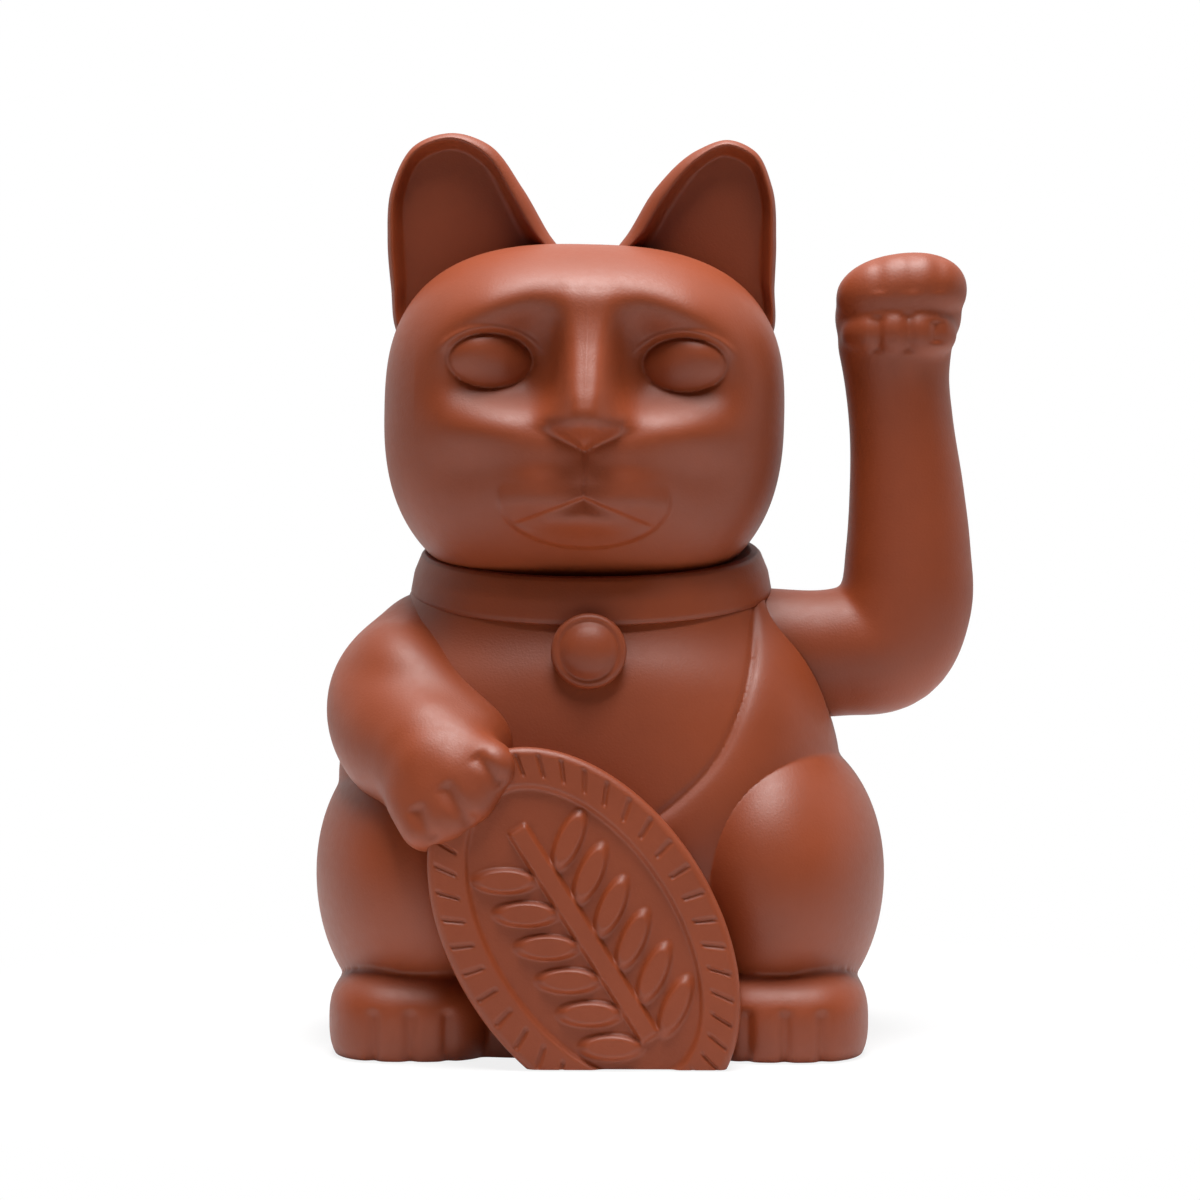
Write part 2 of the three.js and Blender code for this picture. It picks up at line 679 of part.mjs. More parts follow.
// Bell: a flat round case with a raised button, hung against the chest below the collar
function bell() {
  const profile = [
    [0, -BELL_RADIUS],
    [BELL_RADIUS, -BELL_RADIUS],
    [BELL_RADIUS, BELL_THICKNESS - BELL_EDGE],
    [BELL_RADIUS - BELL_EDGE, BELL_THICKNESS],
    [BELL_BUTTON_RADIUS, BELL_THICKNESS],
    [BELL_BUTTON_RADIUS - BELL_BUTTON_EDGE, BELL_THICKNESS + BELL_BUTTON_RISE - BELL_BUTTON_EDGE / 2],
    [0, BELL_THICKNESS + BELL_BUTTON_RISE],
  ].map(([radius, height]) => new THREE.Vector2(radius, height));
  const disc = new THREE.LatheGeometry(profile, ROUND_SIDES).rotateX(Math.PI);
  const frontY = PARTING_Y - SHOULDERS_FRONT + BELL_SINK;
  return solid(disc.translate(0, frontY, COLLAR_SEAT_Z - BELL_DROP));
}

// Tail: curled against the back, from the middle to one side and up
function tail() {
  const y = PARTING_Y + BELLY_REAR - TAIL_RADIUS + TAIL_PROUD;
  const path = [
    [TAIL_ROOT_X, y - TAIL_SINK, TAIL_LOW_Z],
    [(TAIL_ROOT_X + TAIL_BEND_X) / 2, y, TAIL_LOW_Z],
    [TAIL_BEND_X, y, (TAIL_LOW_Z + TAIL_TIP_Z) / 2],
    [TAIL_BEND_X, y - TAIL_SINK, TAIL_TIP_Z],
  ];
  const radii = [TAIL_RADIUS, TAIL_RADIUS, TAIL_RADIUS, TAIL_TIP_RADIUS];
  return limb(path, radii, TAIL_STEPS, FINGER_COLUMNS, { start: true, end: true });
}

// Everything that the body's outside is made of, or its hollow when inset by the wall
function bodyForms(inset) {
  const forms = [torso(inset), coin(inset), restingArm(inset)];
  for (const side of [-1, 1]) forms.push(haunch(side, inset), foot(side, inset));
  return joinAll(forms);
}

const GROUND = block([-BEYOND, -BEYOND, 0], [BEYOND, BEYOND, BEYOND]);

function bodyOutside() {
  const belowDeck = neckDisc(2 * BEYOND, -BEYOND, COLLAR_SINK);
  const details = [collar(), bell(), tail(), ...restingFingers()];
  let outside = bodyForms(0).intersect(belowDeck).add(joinAll(details));
  outside = outside.subtract(coinField());
  for (const side of [-1, 1]) outside = outside.subtract(joinAll(toeGrooves(side)));
  return outside.intersect(GROUND);
}

// Boss for a base screw, with a gusset that runs out to the wall
function screwBoss(x, y) {
  const low = BASE_THICKNESS + SEAT_GAP;
  const boss = bar("z", [x, y, low], BOSS_HEIGHT, BOSS_RADIUS);
  const outward = Math.sign(x);
  const start = [Math.min(x, x + outward * BOSS_HEIGHT), y - GUSSET_THICKNESS / 2, low];
  const end = [Math.max(x, x + outward * BOSS_HEIGHT), y + GUSSET_THICKNESS / 2, low + BOSS_HEIGHT];
  return boss.add(block(start, end));
}

const SCREW_PLACES = [
  [-FRONT_BOSS_X, FRONT_BOSS_Y],
  [FRONT_BOSS_X, FRONT_BOSS_Y],
  [-REAR_BOSS_X, REAR_BOSS_Y],
  [REAR_BOSS_X, REAR_BOSS_Y],
];

// Cup in the flank that the waving arm's round end turns in
function shoulderCup() {
  const radius = SHOULDER_RADIUS + SHOULDER_CLEARANCE + WALL;
  const start = [SHOULDER_X - SHOULDER_FLOOR, PARTING_Y, PIVOT_Z];
  return bar("x", start, BEYOND, radius);
}

function shoulderPocket() {
  const radius = SHOULDER_RADIUS + SHOULDER_CLEARANCE;
  return bar("x", [SHOULDER_X, PARTING_Y, PIVOT_Z], BEYOND, radius);
}

// Web across the hollow that carries the inner end of the axle
function axleWeb() {
  const low = [WEB_X, -BEYOND, PIVOT_Z - WEB_HEIGHT / 2];
  const high = [WEB_X + WEB_THICKNESS, BEYOND, PIVOT_Z + WEB_HEIGHT / 2];
  return block(low, high);
}

function bodyShell() {
  const outside = bodyOutside();
  const belowDeck = neckDisc(2 * BEYOND, -BEYOND, COLLAR_SINK - DECK_THICKNESS);
  const hollow = bodyForms(WALL).intersect(belowDeck);
  const inner = [shoulderCup(), axleWeb(), ...SCREW_PLACES.map(([x, y]) => screwBoss(x, y))];
  let shell = outside.subtract(hollow).add(joinAll(inner).intersect(outside));
  shell = shell.subtract(shoulderPocket());
  shell = shell.subtract(bar("x", [0, PARTING_Y, PIVOT_Z], BEYOND, AXLE_RADIUS + RUNNING_GAP));
  shell = shell.subtract(neckDisc(SPIGOT_RADIUS + SEAT_GAP, -COLLAR_HEIGHT, 2 * COLLAR_HEIGHT));
  const holeDepth = SCREW_RECESS + SCREW_LENGTH + SEAT_GAP;
  for (const [x, y] of SCREW_PLACES) {
    shell = shell.subtract(bar("z", [x, y, 0], holeDepth, SCREW_RADIUS + SEAT_GAP, SMALL_SIDES));
  }
  return shell;
}

// Height of the nose above the plain round of the head, and its half width, up the middle of the face
const noseRise = through([
  [NOSE_LOW_Z, 0],
  [NOSE_UNDER_Z, NOSE_UNDER_RISE],
  [NOSE_Z, NOSE_RISE],
  [EYE_Z, BRIDGE_RISE],
  [BROW_Z, 0],
]);
const noseHalfWidth = through([
  [NOSE_LOW_Z, NOSE_LOW_HALF_WIDTH],
  [NOSE_UNDER_Z, NOSE_HALF_WIDTH],
  [NOSE_Z, NOSE_HALF_WIDTH],
  [EYE_Z, BRIDGE_HALF_WIDTH],
  [BROW_Z, NOSE_HALF_WIDTH],
]);

// Square of the distance from a place on the face, measured in the half sizes of an oval
function ovalDistance(x, z, halfWidth, halfHeight) {
  return (x / halfWidth) ** 2 + (z / halfHeight) ** 2;
}

// Height of the features above the plain round of the head: brow, sockets with their eyes, nose,
// cheeks, muzzle and chin, each a smooth rise or dip over an oval
function faceRelief(headX, z) {
  const x = headX - FACE_X;
  const side = Math.abs(x);
  const browZ = BROW_Z - x ** 2 / (2 * BROW_BEND);
  const brow = ovalDistance(x, z - browZ, BROW_HALF_WIDTH, BROW_HALF_HEIGHT);
  const socket = ovalDistance(side - SOCKET_X, z - SOCKET_Z, SOCKET_HALF_WIDTH, SOCKET_HALF_HEIGHT);
  const eye = ovalDistance(side - EYE_X, z - EYE_Z, EYE_HALF_WIDTH, EYE_HALF_HEIGHT);
  const cheek = ovalDistance(side - CHEEK_X, z - CHEEK_Z, CHEEK_HALF_WIDTH, CHEEK_HALF_HEIGHT);
  const muzzle = ovalDistance(side - MUZZLE_X, z - MUZZLE_Z, MUZZLE_HALF_WIDTH, MUZZLE_HALF_HEIGHT);
  const chin = ovalDistance(x, z - CHIN_Z, CHIN_HALF_WIDTH, CHIN_HALF_HEIGHT);
  const upper = BROW_RISE * Math.exp(-brow) - SOCKET_DEPTH * Math.exp(-(socket ** 2));
  const eyeball = EYE_BULGE * Math.max(0, 1 - eye);
  const nose = noseRise(z) * Math.exp(-((side / noseHalfWidth(z)) ** NOSE_SQUARENESS));
  const lower = MUZZLE_RISE * Math.exp(-muzzle) + CHIN_RISE * Math.exp(-chin);
  return upper + eyeball + nose + CHEEK_RISE * Math.exp(-cheek) + lower;
}

// Head: squared rings about a front-to-back axis, from the back of the head to the face
function headForm(inset) {
  const faceInset = inset > 0 ? inset + SOCKET_DEPTH : 0;
  const relief = inset > 0 ? () => 0 : faceRelief;
  const power = 2 / HEAD_SQUARENESS;
  const columns = facets(HEAD_COLUMNS, inset);
  const rings = [];
  const addRing = (turn, reach) => {
    const spread = Math.sin(turn);
    const out = reach * (1 - spread ** HEAD_SQUARENESS) ** (1 / HEAD_SQUARENESS);
    const share = THREE.MathUtils.smoothstep(-out, 0, HEAD_FRONT / 2);
    const ring = [];
    for (let i = 0; i < columns; i++) {
      const angle = 2 * Math.PI * (i + 0.5) / columns;
      const rise = signedPower(Math.sin(angle), power);
      const x = (HEAD_HALF_WIDTH - inset) * spread * signedPower(Math.cos(angle), power);
      const z = (rise > 0 ? HEAD_UP - inset : HEAD_DOWN - inset) * spread * rise;
      ring.push(new THREE.Vector3(x, out - share * relief(x, z), z));
    }
    rings.push(ring);
  };
  const rearRows = facets(HEAD_ROWS, inset);
  for (let i = 0; i < rearRows; i++) {
    addRing(THREE.MathUtils.lerp(HEAD_POLE_TURN, Math.PI / 2, i / rearRows), HEAD_REAR - inset);
  }
  const faceRows = facets(FACE_ROWS, inset);
  for (let i = faceRows; i >= 0; i--) {
    addRing(THREE.MathUtils.lerp(FACE_POLE_TURN, Math.PI / 2, i / faceRows), faceInset - HEAD_FRONT);
  }
  return solid(placeHead(new LoftGeometry(rings, { capStart: true, capEnd: true })));
}

// The head leans a little about its seat on the neck
const HEAD_PLACE = new THREE.Matrix4()
  .makeTranslation(0, PARTING_Y, COLLAR_SEAT_Z)
  .multiply(new THREE.Matrix4().makeRotationY(HEAD_LEAN))
  .multiply(new THREE.Matrix4().makeTranslation(HEAD_X, 0, HEAD_Z - COLLAR_SEAT_Z));

const placeHead = (shape) => shape.applyMatrix4(HEAD_PLACE);

// Ear: a plate with a round edge and a dished front, rooted deep in the head
const EAR_OUTER = HEAD_HALF_WIDTH - EAR_OUTER_INSET;
const EAR_TIP_Z = HEAD_UP + EAR_RISE;
const EAR_SHOULDER_Z = EAR_TIP_Z - EAR_SHOULDER_DROP;
const EAR_WAIST_Z = EAR_TIP_Z - EAR_WAIST_DROP;

function earOutline(side) {
  const tip = [side * EAR_TIP_X, EAR_TIP_Z];
  const waist = [side * EAR_WAIST_X, EAR_WAIST_Z];
  const roundZ = EAR_TIP_Z - EAR_TIP_ROUND;
  const outline = new THREE.Shape();
  outline.moveTo(side * (EAR_OUTER - EAR_ROOT_INSET), EAR_ROOT_Z);
  outline.lineTo(side * EAR_OUTER, EAR_SIDE_Z);
  outline.lineTo(side * EAR_OUTER, EAR_SHOULDER_Z);
  outline.bezierCurveTo(side * EAR_OUTER, roundZ, side * (EAR_TIP_X + EAR_TIP_ROUND), EAR_TIP_Z, ...tip);
  const bowX = side * (EAR_WAIST_X + EAR_WAIST_BOW);
  outline.bezierCurveTo(side * (EAR_TIP_X - EAR_TIP_ROUND), EAR_TIP_Z, bowX, roundZ, ...waist);
  outline.lineTo(side * EAR_INNER_X, HEAD_UP - EAR_INNER_SINK);
  outline.lineTo(side * EAR_ROOT_INNER_X, EAR_ROOT_Z);
  return outline;
}

function ear(side) {
  const plate = new THREE.ExtrudeGeometry(earOutline(side), {
    depth: EAR_THICKNESS - 2 * EAR_EDGE,
    curveSegments: EAR_SEGMENTS,
    bevelSize: EAR_EDGE,
    bevelOffset: -EAR_EDGE,
    bevelThickness: EAR_EDGE,
    bevelSegments: EDGE_SEGMENTS,
  });
  plate.translate(0, 0, EAR_EDGE - EAR_THICKNESS / 2).rotateX(Math.PI / 2);
  const dish = new THREE.SphereGeometry(1, DISH_COLUMNS, DISH_ROWS);
  dish.scale(EAR_DISH_HALF_WIDTH, 2 * EAR_DISH, EAR_DISH_HALF_HEIGHT);
  dish.translate(side * EAR_DISH_X, -EAR_THICKNESS / 2 - EAR_DISH, EAR_SHOULDER_Z);
  return solid(placeHead(plate)).subtract(solid(placeHead(dish)));
}

function headShell() {
  const seat = COLLAR_HEIGHT + SEAT_GAP;
  const aboveSeat = neckDisc(BEYOND, seat, BEYOND);
  const outside = joinAll([headForm(0), ear(-1), ear(1)]);
  const spigot = neckDisc(SPIGOT_RADIUS, seat - SPIGOT_LENGTH, seat + WALL / 2);
  const bore = neckDisc(SPIGOT_RADIUS - WALL, seat - 2 * SPIGOT_LENGTH, seat + 2 * WALL);
  const floorHeight = neckDisc(BEYOND, seat + WALL, BEYOND);
  const hollow = headForm(WALL).intersect(floorHeight);
  return outside.intersect(aboveSeat).subtract(hollow).add(spigot).subtract(bore);
}

// Waving arm about its pivot: out of the shoulder, round the elbow and up to the paw
function wavingArm(inset) {
  const elbow = [ELBOW_X, 0, ELBOW_RISE];
  const columns = facets(LIMB_COLUMNS, inset);
  const shrunk = (radii) => radii.map((radius) => radius - inset);
  const upperPath = [[SHOULDER_X + SEAT_GAP + inset, 0, 0], [ELBOW_X - ELBOW_RADIUS, 0, 0], elbow];
  const upperRadii = shrunk([SHOULDER_RADIUS, SHOULDER_RADIUS, ELBOW_RADIUS]);
  const upper = limb(upperPath, upperRadii, UPPER_ARM_STEPS, columns, { start: false, end: true });
  const path = [
    elbow,
    [ARM_X, 0, ARM_RISE],
    [(ARM_X + WRIST_X) / 2, 0, (ARM_RISE + WRIST_RISE) / 2],
    [WRIST_X, 0, WRIST_RISE],
    [PAW_X, 0, PAW_RISE],
  ];
  const radii = shrunk([ELBOW_RADIUS, ARM_RADIUS, FOREARM_RADIUS, WRIST_RADIUS, PAW_RADIUS]);
  return upper.add(limb(path, radii, facets(WAVING_ARM_STEPS, inset), columns, { start: true, end: true }));
}

// Knuckles and curled finger tips on the front of the waving paw
function wavingFingers() {
  const fingers = [];
  for (let i = 0; i < FINGERS; i++) {
    const x = PAW_X + (i - (FINGERS - 1) / 2) * FINGER_PITCH;
    const palmY = FINGER_SINK - PAW_RADIUS;
    const knuckle = [x, KNUCKLE_Y, PAW_RISE + FINGER_RADIUS];
    const middle = [x, palmY, PAW_RISE + FINGER_RADIUS / 2];
    const tip = [x, palmY, PAW_RISE - FINGER_CURL + FINGER_RADIUS];
    const path = [knuckle, middle, tip];
    const radii = [FINGER_RADIUS, FINGER_RADIUS, FINGER_RADIUS];
    fingers.push(limb(path, radii, FINGER_STEPS, FINGER_COLUMNS, { start: true, end: true }));
  }
  return fingers;
}

// Bottom of the blind bore in the arm's boss, where the axle ends
const ARM_BORE_END_X = SHOULDER_X + SEAT_GAP + ARM_BOSS_DEPTH - ARM_WALL;

function armShell() {
  const outside = joinAll([wavingArm(0), ...wavingFingers()]);
  const bossStart = SHOULDER_X + SEAT_GAP + ARM_WALL / 2;
  const boss = bar("x", [bossStart, 0, 0], ARM_BOSS_DEPTH - ARM_WALL / 2, ARM_BOSS_RADIUS);
  const bore = bar("x", [0, 0, 0], ARM_BORE_END_X, AXLE_RADIUS + RUNNING_GAP);
  return outside.subtract(wavingArm(ARM_WALL)).add(boss).subtract(bore);
}

// Axle with a flat-ended round section, from the clip to the bottom of the arm's boss
function axle() {
  const length = ARM_BORE_END_X - SEAT_GAP - AXLE_END_X;
  return bar("x", [AXLE_END_X, 0, 0], length, AXLE_RADIUS);
}

// Spring clip on the free end of the axle: a ring with a mouth
function axleClip() {
  const low = WEB_X - SEAT_GAP - CLIP_THICKNESS;
  const ring = bar("x", [low, 0, 0], CLIP_THICKNESS, CLIP_RADIUS);
  const hole = bar("x", [0, 0, 0], SHOULDER_X, AXLE_RADIUS + RUNNING_GAP / 2);
  const mouth = block([0, -AXLE_RADIUS, 0], [SHOULDER_X, AXLE_RADIUS, CLIP_RADIUS * 2]);
  return ring.subtract(hole).subtract(mouth);
}

// Board on its posts, and the coil on the board
const BOARD_Z = BASE_THICKNESS + BOARD_POST_HEIGHT + SEAT_GAP;
const BOARD_TOP = BOARD_Z + BOARD_THICKNESS;
const COIL_TOP = BOARD_TOP + SEAT_GAP + BOBBIN_HEIGHT;

// Lower face of the magnet below the pivot, an air gap above the coil, and the middle of the
// counterweight, just clear of the magnet's cup
const MAGNET_DROP = PIVOT_Z - COIL_TOP - MAGNET_AIR_GAP;
const WEIGHT_DROP = MAGNET_DROP - MAGNET_HEIGHT - MAGNET_CUP_WALL - 2 * SEAT_GAP - WEIGHT_HEIGHT / 2;

// Lever: hub on the axle, a tapering bar, a peg for the weight and a cup for the magnet
function lever() {
  const hub = bar("x", [LEVER_X - LEVER_HUB_LENGTH / 2, 0, 0], LEVER_HUB_LENGTH, LEVER_HUB_RADIUS);
  const cupRadius = MAGNET_RADIUS + SEAT_GAP + MAGNET_CUP_WALL;
  const cupTop = -MAGNET_DROP + MAGNET_HEIGHT + MAGNET_CUP_WALL + SEAT_GAP;
  const outline = new THREE.Shape();
  outline.moveTo(-LEVER_WIDTH / 2 - LEVER_TAPER, 0);
  outline.lineTo(-LEVER_WIDTH / 2, -WEIGHT_DROP);
  outline.lineTo(-MAGNET_RADIUS, cupTop - MAGNET_CUP_WALL / 2);
  outline.lineTo(MAGNET_RADIUS, cupTop - MAGNET_CUP_WALL / 2);
  outline.lineTo(LEVER_WIDTH / 2, -WEIGHT_DROP);
  outline.lineTo(LEVER_WIDTH / 2 + LEVER_TAPER, 0);
  const plate = new THREE.ExtrudeGeometry(outline, { depth: LEVER_THICKNESS, bevelEnabled: false });
  plate.rotateX(Math.PI / 2).rotateZ(Math.PI / 2).translate(LEVER_X - LEVER_THICKNESS / 2, 0, 0);
  const cup = bar("z", [LEVER_X, 0, -MAGNET_DROP], cupTop + MAGNET_DROP, cupRadius);
  const pocketHeight = MAGNET_HEIGHT + SEAT_GAP + OVERCUT;
  const pocket = bar("z", [LEVER_X, 0, -MAGNET_DROP - OVERCUT], pocketHeight, MAGNET_RADIUS + SEAT_GAP);
  const pegStart = LEVER_X + LEVER_THICKNESS / 2 - OVERCUT;
  const pegLength = OVERCUT + SEAT_GAP + WEIGHT_THICKNESS + SEAT_GAP;
  const peg = bar("x", [pegStart, WEIGHT_OFFSET_Y, -WEIGHT_DROP], pegLength, WEIGHT_PEG_RADIUS, SMALL_SIDES);
  const bore = bar("x", [0, 0, 0], BEYOND, AXLE_RADIUS + RUNNING_GAP / 2);
  return joinAll([hub, solid(plate), cup, peg]).subtract(pocket).subtract(bore);
}

function magnet() {
  return bar("z", [LEVER_X, 0, -MAGNET_DROP], MAGNET_HEIGHT, MAGNET_RADIUS);
}

// Steel counterweight, pushed on to the lever's peg
function counterweight() {
  const start = LEVER_X + LEVER_THICKNESS / 2 + SEAT_GAP;
  const size = [WEIGHT_THICKNESS, WEIGHT_WIDTH, WEIGHT_HEIGHT];
  const slab = new RoundedBoxGeometry(...size, 1, WEIGHT_EDGE);
  slab.translate(start + WEIGHT_THICKNESS / 2, WEIGHT_OFFSET_Y, -WEIGHT_DROP);
  const holeRadius = WEIGHT_PEG_RADIUS + RUNNING_GAP;
  const hole = bar("x", [0, WEIGHT_OFFSET_Y, -WEIGHT_DROP], BEYOND, holeRadius, SMALL_SIDES);
  return solid(slab).subtract(hole);
}

// Battery bay, all from the cell and its contacts
const BAY_HALF_WIDTH = CELL_RADIUS + BAY_SIDE_GAP;
const BAY_HALF_LENGTH = (CELL_LENGTH + SPRING_LENGTH) / 2 + CONTACT_THICKNESS + 2 * SEAT_GAP;
const CELL_Z = DOOR_RECESS + DOOR_THICKNESS + SEAT_GAP + CELL_RADIUS;
const BAY_TOP = CELL_Z + CELL_RADIUS + SEAT_GAP;
const BAY_FRONT_Y = CELL_Y - BAY_HALF_LENGTH;
const BAY_REAR_Y = CELL_Y + BAY_HALF_LENGTH;
const SPRING_PLATE_Y = BAY_FRONT_Y + SEAT_GAP;
const CELL_START_Y = SPRING_PLATE_Y + CONTACT_THICKNESS + SPRING_LENGTH;
const CELL_END_Y = CELL_START_Y + CELL_LENGTH;
const DOOR_HINGE_Y = BAY_FRONT_Y + DOOR_GAP + DOOR_THICKNESS / 2;
const DOOR_HINGE_Z = DOOR_RECESS + DOOR_THICKNESS / 2;

const BOARD_X = LEVER_X;
const BOARD_Y = PARTING_Y;
const BOARD_SCREW_X = BOARD_WIDTH / 2 - BOARD_POST_RADIUS - BOARD_EDGE;
const BOARD_SCREW_Y = BOARD_LENGTH / 2 - BOARD_POST_RADIUS;
const BOARD_SCREW_PLACES = [
  [BOARD_X - BOARD_SCREW_X, BOARD_Y - BOARD_SCREW_Y],
  [BOARD_X + BOARD_SCREW_X, BOARD_Y + BOARD_SCREW_Y],
];

// Leads from the contact plates, through the bay wall, to the board
const LEAD_Z = BAY_TOP - LEAD_RADIUS - LEAD_SPACE;
const FRONT_LEAD_Y = SPRING_PLATE_Y + CONTACT_THICKNESS + LEAD_SPACE;
const REAR_LEAD_Y = BAY_REAR_Y - SEAT_GAP - CONTACT_THICKNESS - LEAD_SPACE;

// Base: fills the figure's bottom opening, with the battery bay and the board's posts on it
function basePlate() {
  const slab = block([-BEYOND, -BEYOND, 0], [BEYOND, BEYOND, BASE_THICKNESS]);
  const floor = bodyForms(WALL + SEAT_GAP).intersect(slab);
  const outerX = BAY_HALF_WIDTH + BAY_WALL;
  const bayLow = [CELL_X - outerX, BAY_FRONT_Y - BAY_WALL, 0];
  const bayHigh = [CELL_X + outerX, BAY_REAR_Y + BAY_WALL, BAY_TOP + BAY_WALL];
  const postHeight = BOARD_Z - SEAT_GAP;
  const posts = BOARD_SCREW_PLACES.map(([x, y]) => bar("z", [x, y, 0], postHeight, BOARD_POST_RADIUS));
  const pocketLow = [CELL_X - BAY_HALF_WIDTH, BAY_FRONT_Y, -OVERCUT];
  const pocketHigh = [CELL_X + BAY_HALF_WIDTH, BAY_REAR_Y, BAY_TOP];
  const cuts = [block(pocketLow, pocketHigh), ...basePlateHoles()];
  return joinAll([floor, block(bayLow, bayHigh), ...posts]).subtract(joinAll(cuts));
}

// Holes in the base for its screws, the board's screws, the door's pins and the leads
function basePlateHoles() {
  const holes = [];
  const shankRadius = SCREW_RADIUS + SEAT_GAP;
  for (const [x, y] of SCREW_PLACES) {
    const sink = OVERCUT + SCREW_RECESS + SCREW_HEAD_HEIGHT;
    holes.push(bar("z", [x, y, -OVERCUT], BASE_THICKNESS + 2 * OVERCUT, shankRadius, SMALL_SIDES));
    holes.push(bar("z", [x, y, -OVERCUT], sink, SCREW_HEAD_RADIUS + SEAT_GAP, SMALL_SIDES));
  }
  for (const [x, y] of BOARD_SCREW_PLACES) {
    holes.push(bar("z", [x, y, BOARD_Z - BOARD_SCREW_LENGTH], BEYOND, shankRadius, SMALL_SIDES));
  }
  const pinLength = 2 * (BAY_HALF_WIDTH + DOOR_PIN_LENGTH + DOOR_GAP);
  const pinStart = [CELL_X - pinLength / 2, DOOR_HINGE_Y, DOOR_HINGE_Z];
  holes.push(bar("x", pinStart, pinLength, DOOR_PIN_RADIUS + RUNNING_GAP, SMALL_SIDES));
  for (const y of [FRONT_LEAD_Y, REAR_LEAD_Y]) {
    holes.push(bar("x", [CELL_X, y, LEAD_Z], BEYOND, LEAD_RADIUS + 2 * SEAT_GAP, SMALL_SIDES));
  }
  return holes;
}

// Battery door about its hinge: a panel with a rolled edge, two pins and finger grooves
function batteryDoor() {
  const width = BAY_HALF_WIDTH - DOOR_GAP;
  const length = BAY_REAR_Y - DOOR_GAP - DOOR_HINGE_Y;
  const thick = DOOR_THICKNESS / 2;
  const panel = block([-width, 0, -thick], [width, length, thick]);
  const roll = bar("x", [-width, 0, 0], 2 * width, thick);
  const reach = width + DOOR_GAP + DOOR_PIN_LENGTH;
  const pins = bar("x", [-reach, 0, 0], 2 * reach, DOOR_PIN_RADIUS, SMALL_SIDES);
  let door = joinAll([panel, roll, pins]);
  for (let i = 0; i < DOOR_GRIP_GROOVES; i++) {
    const y = length - DOOR_GRIP_START - i * DOOR_GRIP_PITCH;
    const high = [width / 2, y + DOOR_GRIP_WIDTH, DOOR_GRIP_DEPTH - thick];
    door = door.subtract(block([-width / 2, y, -BEYOND], high));
  }
  return door;
}

// Cell along Y, with its button end to the rear
function cell() {
  const shoulder = CELL_LENGTH - CELL_NUB_LENGTH;
  const profile = [
    [0, 0],
    [CELL_RADIUS - CELL_EDGE, 0],
    [CELL_RADIUS, CELL_EDGE],
    [CELL_RADIUS, shoulder - CELL_EDGE],
    [CELL_RADIUS - CELL_EDGE, shoulder],
    [CELL_NUB_RADIUS, shoulder],
    [CELL_NUB_RADIUS, CELL_LENGTH],
    [0, CELL_LENGTH],
  ].map(([radius, height]) => new THREE.Vector2(radius, height));
  return solid(new THREE.LatheGeometry(profile, ROUND_SIDES));
}

// Cone spring between the front contact plate and the flat end of the cell
class ConeHelix extends THREE.Curve {
  getPoint(t, target = new THREE.Vector3()) {
    const angle = 2 * Math.PI * SPRING_TURNS * t;
    const radius = THREE.MathUtils.lerp(SPRING_BASE_RADIUS, SPRING_TIP_RADIUS, t);
    const rise = SPRING_WIRE + SEAT_GAP + t * (SPRING_LENGTH - 2 * SPRING_WIRE - 2 * SEAT_GAP);
    return target.set(radius * Math.cos(angle), rise, radius * Math.sin(angle));
  }
}

function roundSection(radius, sides) {
  const section = new THREE.Shape();
  for (let i = 0; i < sides; i++) {
    const angle = 2 * Math.PI * i / sides;
    const point = [radius * Math.cos(angle), radius * Math.sin(angle)];
    if (i === 0) section.moveTo(...point);
    else section.lineTo(...point);
  }
  return section;
}

function wireAlong(path, radius, sides, steps) {
  const options = { steps, extrudePath: path, bevelEnabled: false };
  return solid(new THREE.ExtrudeGeometry(roundSection(radius, sides), options));
}

// Contact plate, standing across the bay
function contactPlate(y) {
  const low = [CELL_X - CONTACT_WIDTH / 2, y, CELL_Z - CONTACT_WIDTH / 2];
  const high = [CELL_X + CONTACT_WIDTH / 2, y + CONTACT_THICKNESS, CELL_Z + CONTACT_WIDTH / 2];
  return block(low, high);
}

// Lead from a contact plate's edge, out through the bay wall and down to the board
function lead(y, boardY) {
  const startX = CELL_X + CONTACT_WIDTH / 2 + SEAT_GAP;
  const wallX = CELL_X + BAY_HALF_WIDTH + BAY_WALL;
  const boardX = BOARD_X - BOARD_WIDTH / 2 + LEAD_BOARD_INSET;
  const points = [
    [startX, y, LEAD_Z],
    [wallX + LEAD_SPACE, y, LEAD_Z],
    [(wallX + boardX) / 2, (2 * y + boardY) / 3, LEAD_Z - LEAD_SPACE],
    [boardX, boardY, LEAD_Z - LEAD_DROP],
    [boardX, boardY, BOARD_TOP + SEAT_GAP],
  ].map((point) => new THREE.Vector3(...point));
  return wireAlong(new THREE.CatmullRomCurve3(points), LEAD_RADIUS, SMALL_SIDES, LEAD_STEPS);
}

// Board with holes for its screws
function board() {
  const low = [BOARD_X - BOARD_WIDTH / 2, BOARD_Y - BOARD_LENGTH / 2, BOARD_Z];
  const high = [BOARD_X + BOARD_WIDTH / 2, BOARD_Y + BOARD_LENGTH / 2, BOARD_TOP];
  let plate = block(low, high);
  for (const [x, y] of BOARD_SCREW_PLACES) {
    plate = plate.subtract(bar("z", [x, y, 0], BEYOND, SCREW_RADIUS + SEAT_GAP, SMALL_SIDES));
  }
  return plate;
}

function turned(profile, sides = ROUND_SIDES) {
  const points = profile.map(([radius, height]) => new THREE.Vector2(radius, height));
  return solid(new THREE.LatheGeometry(points, sides).rotateX(Math.PI / 2));
}

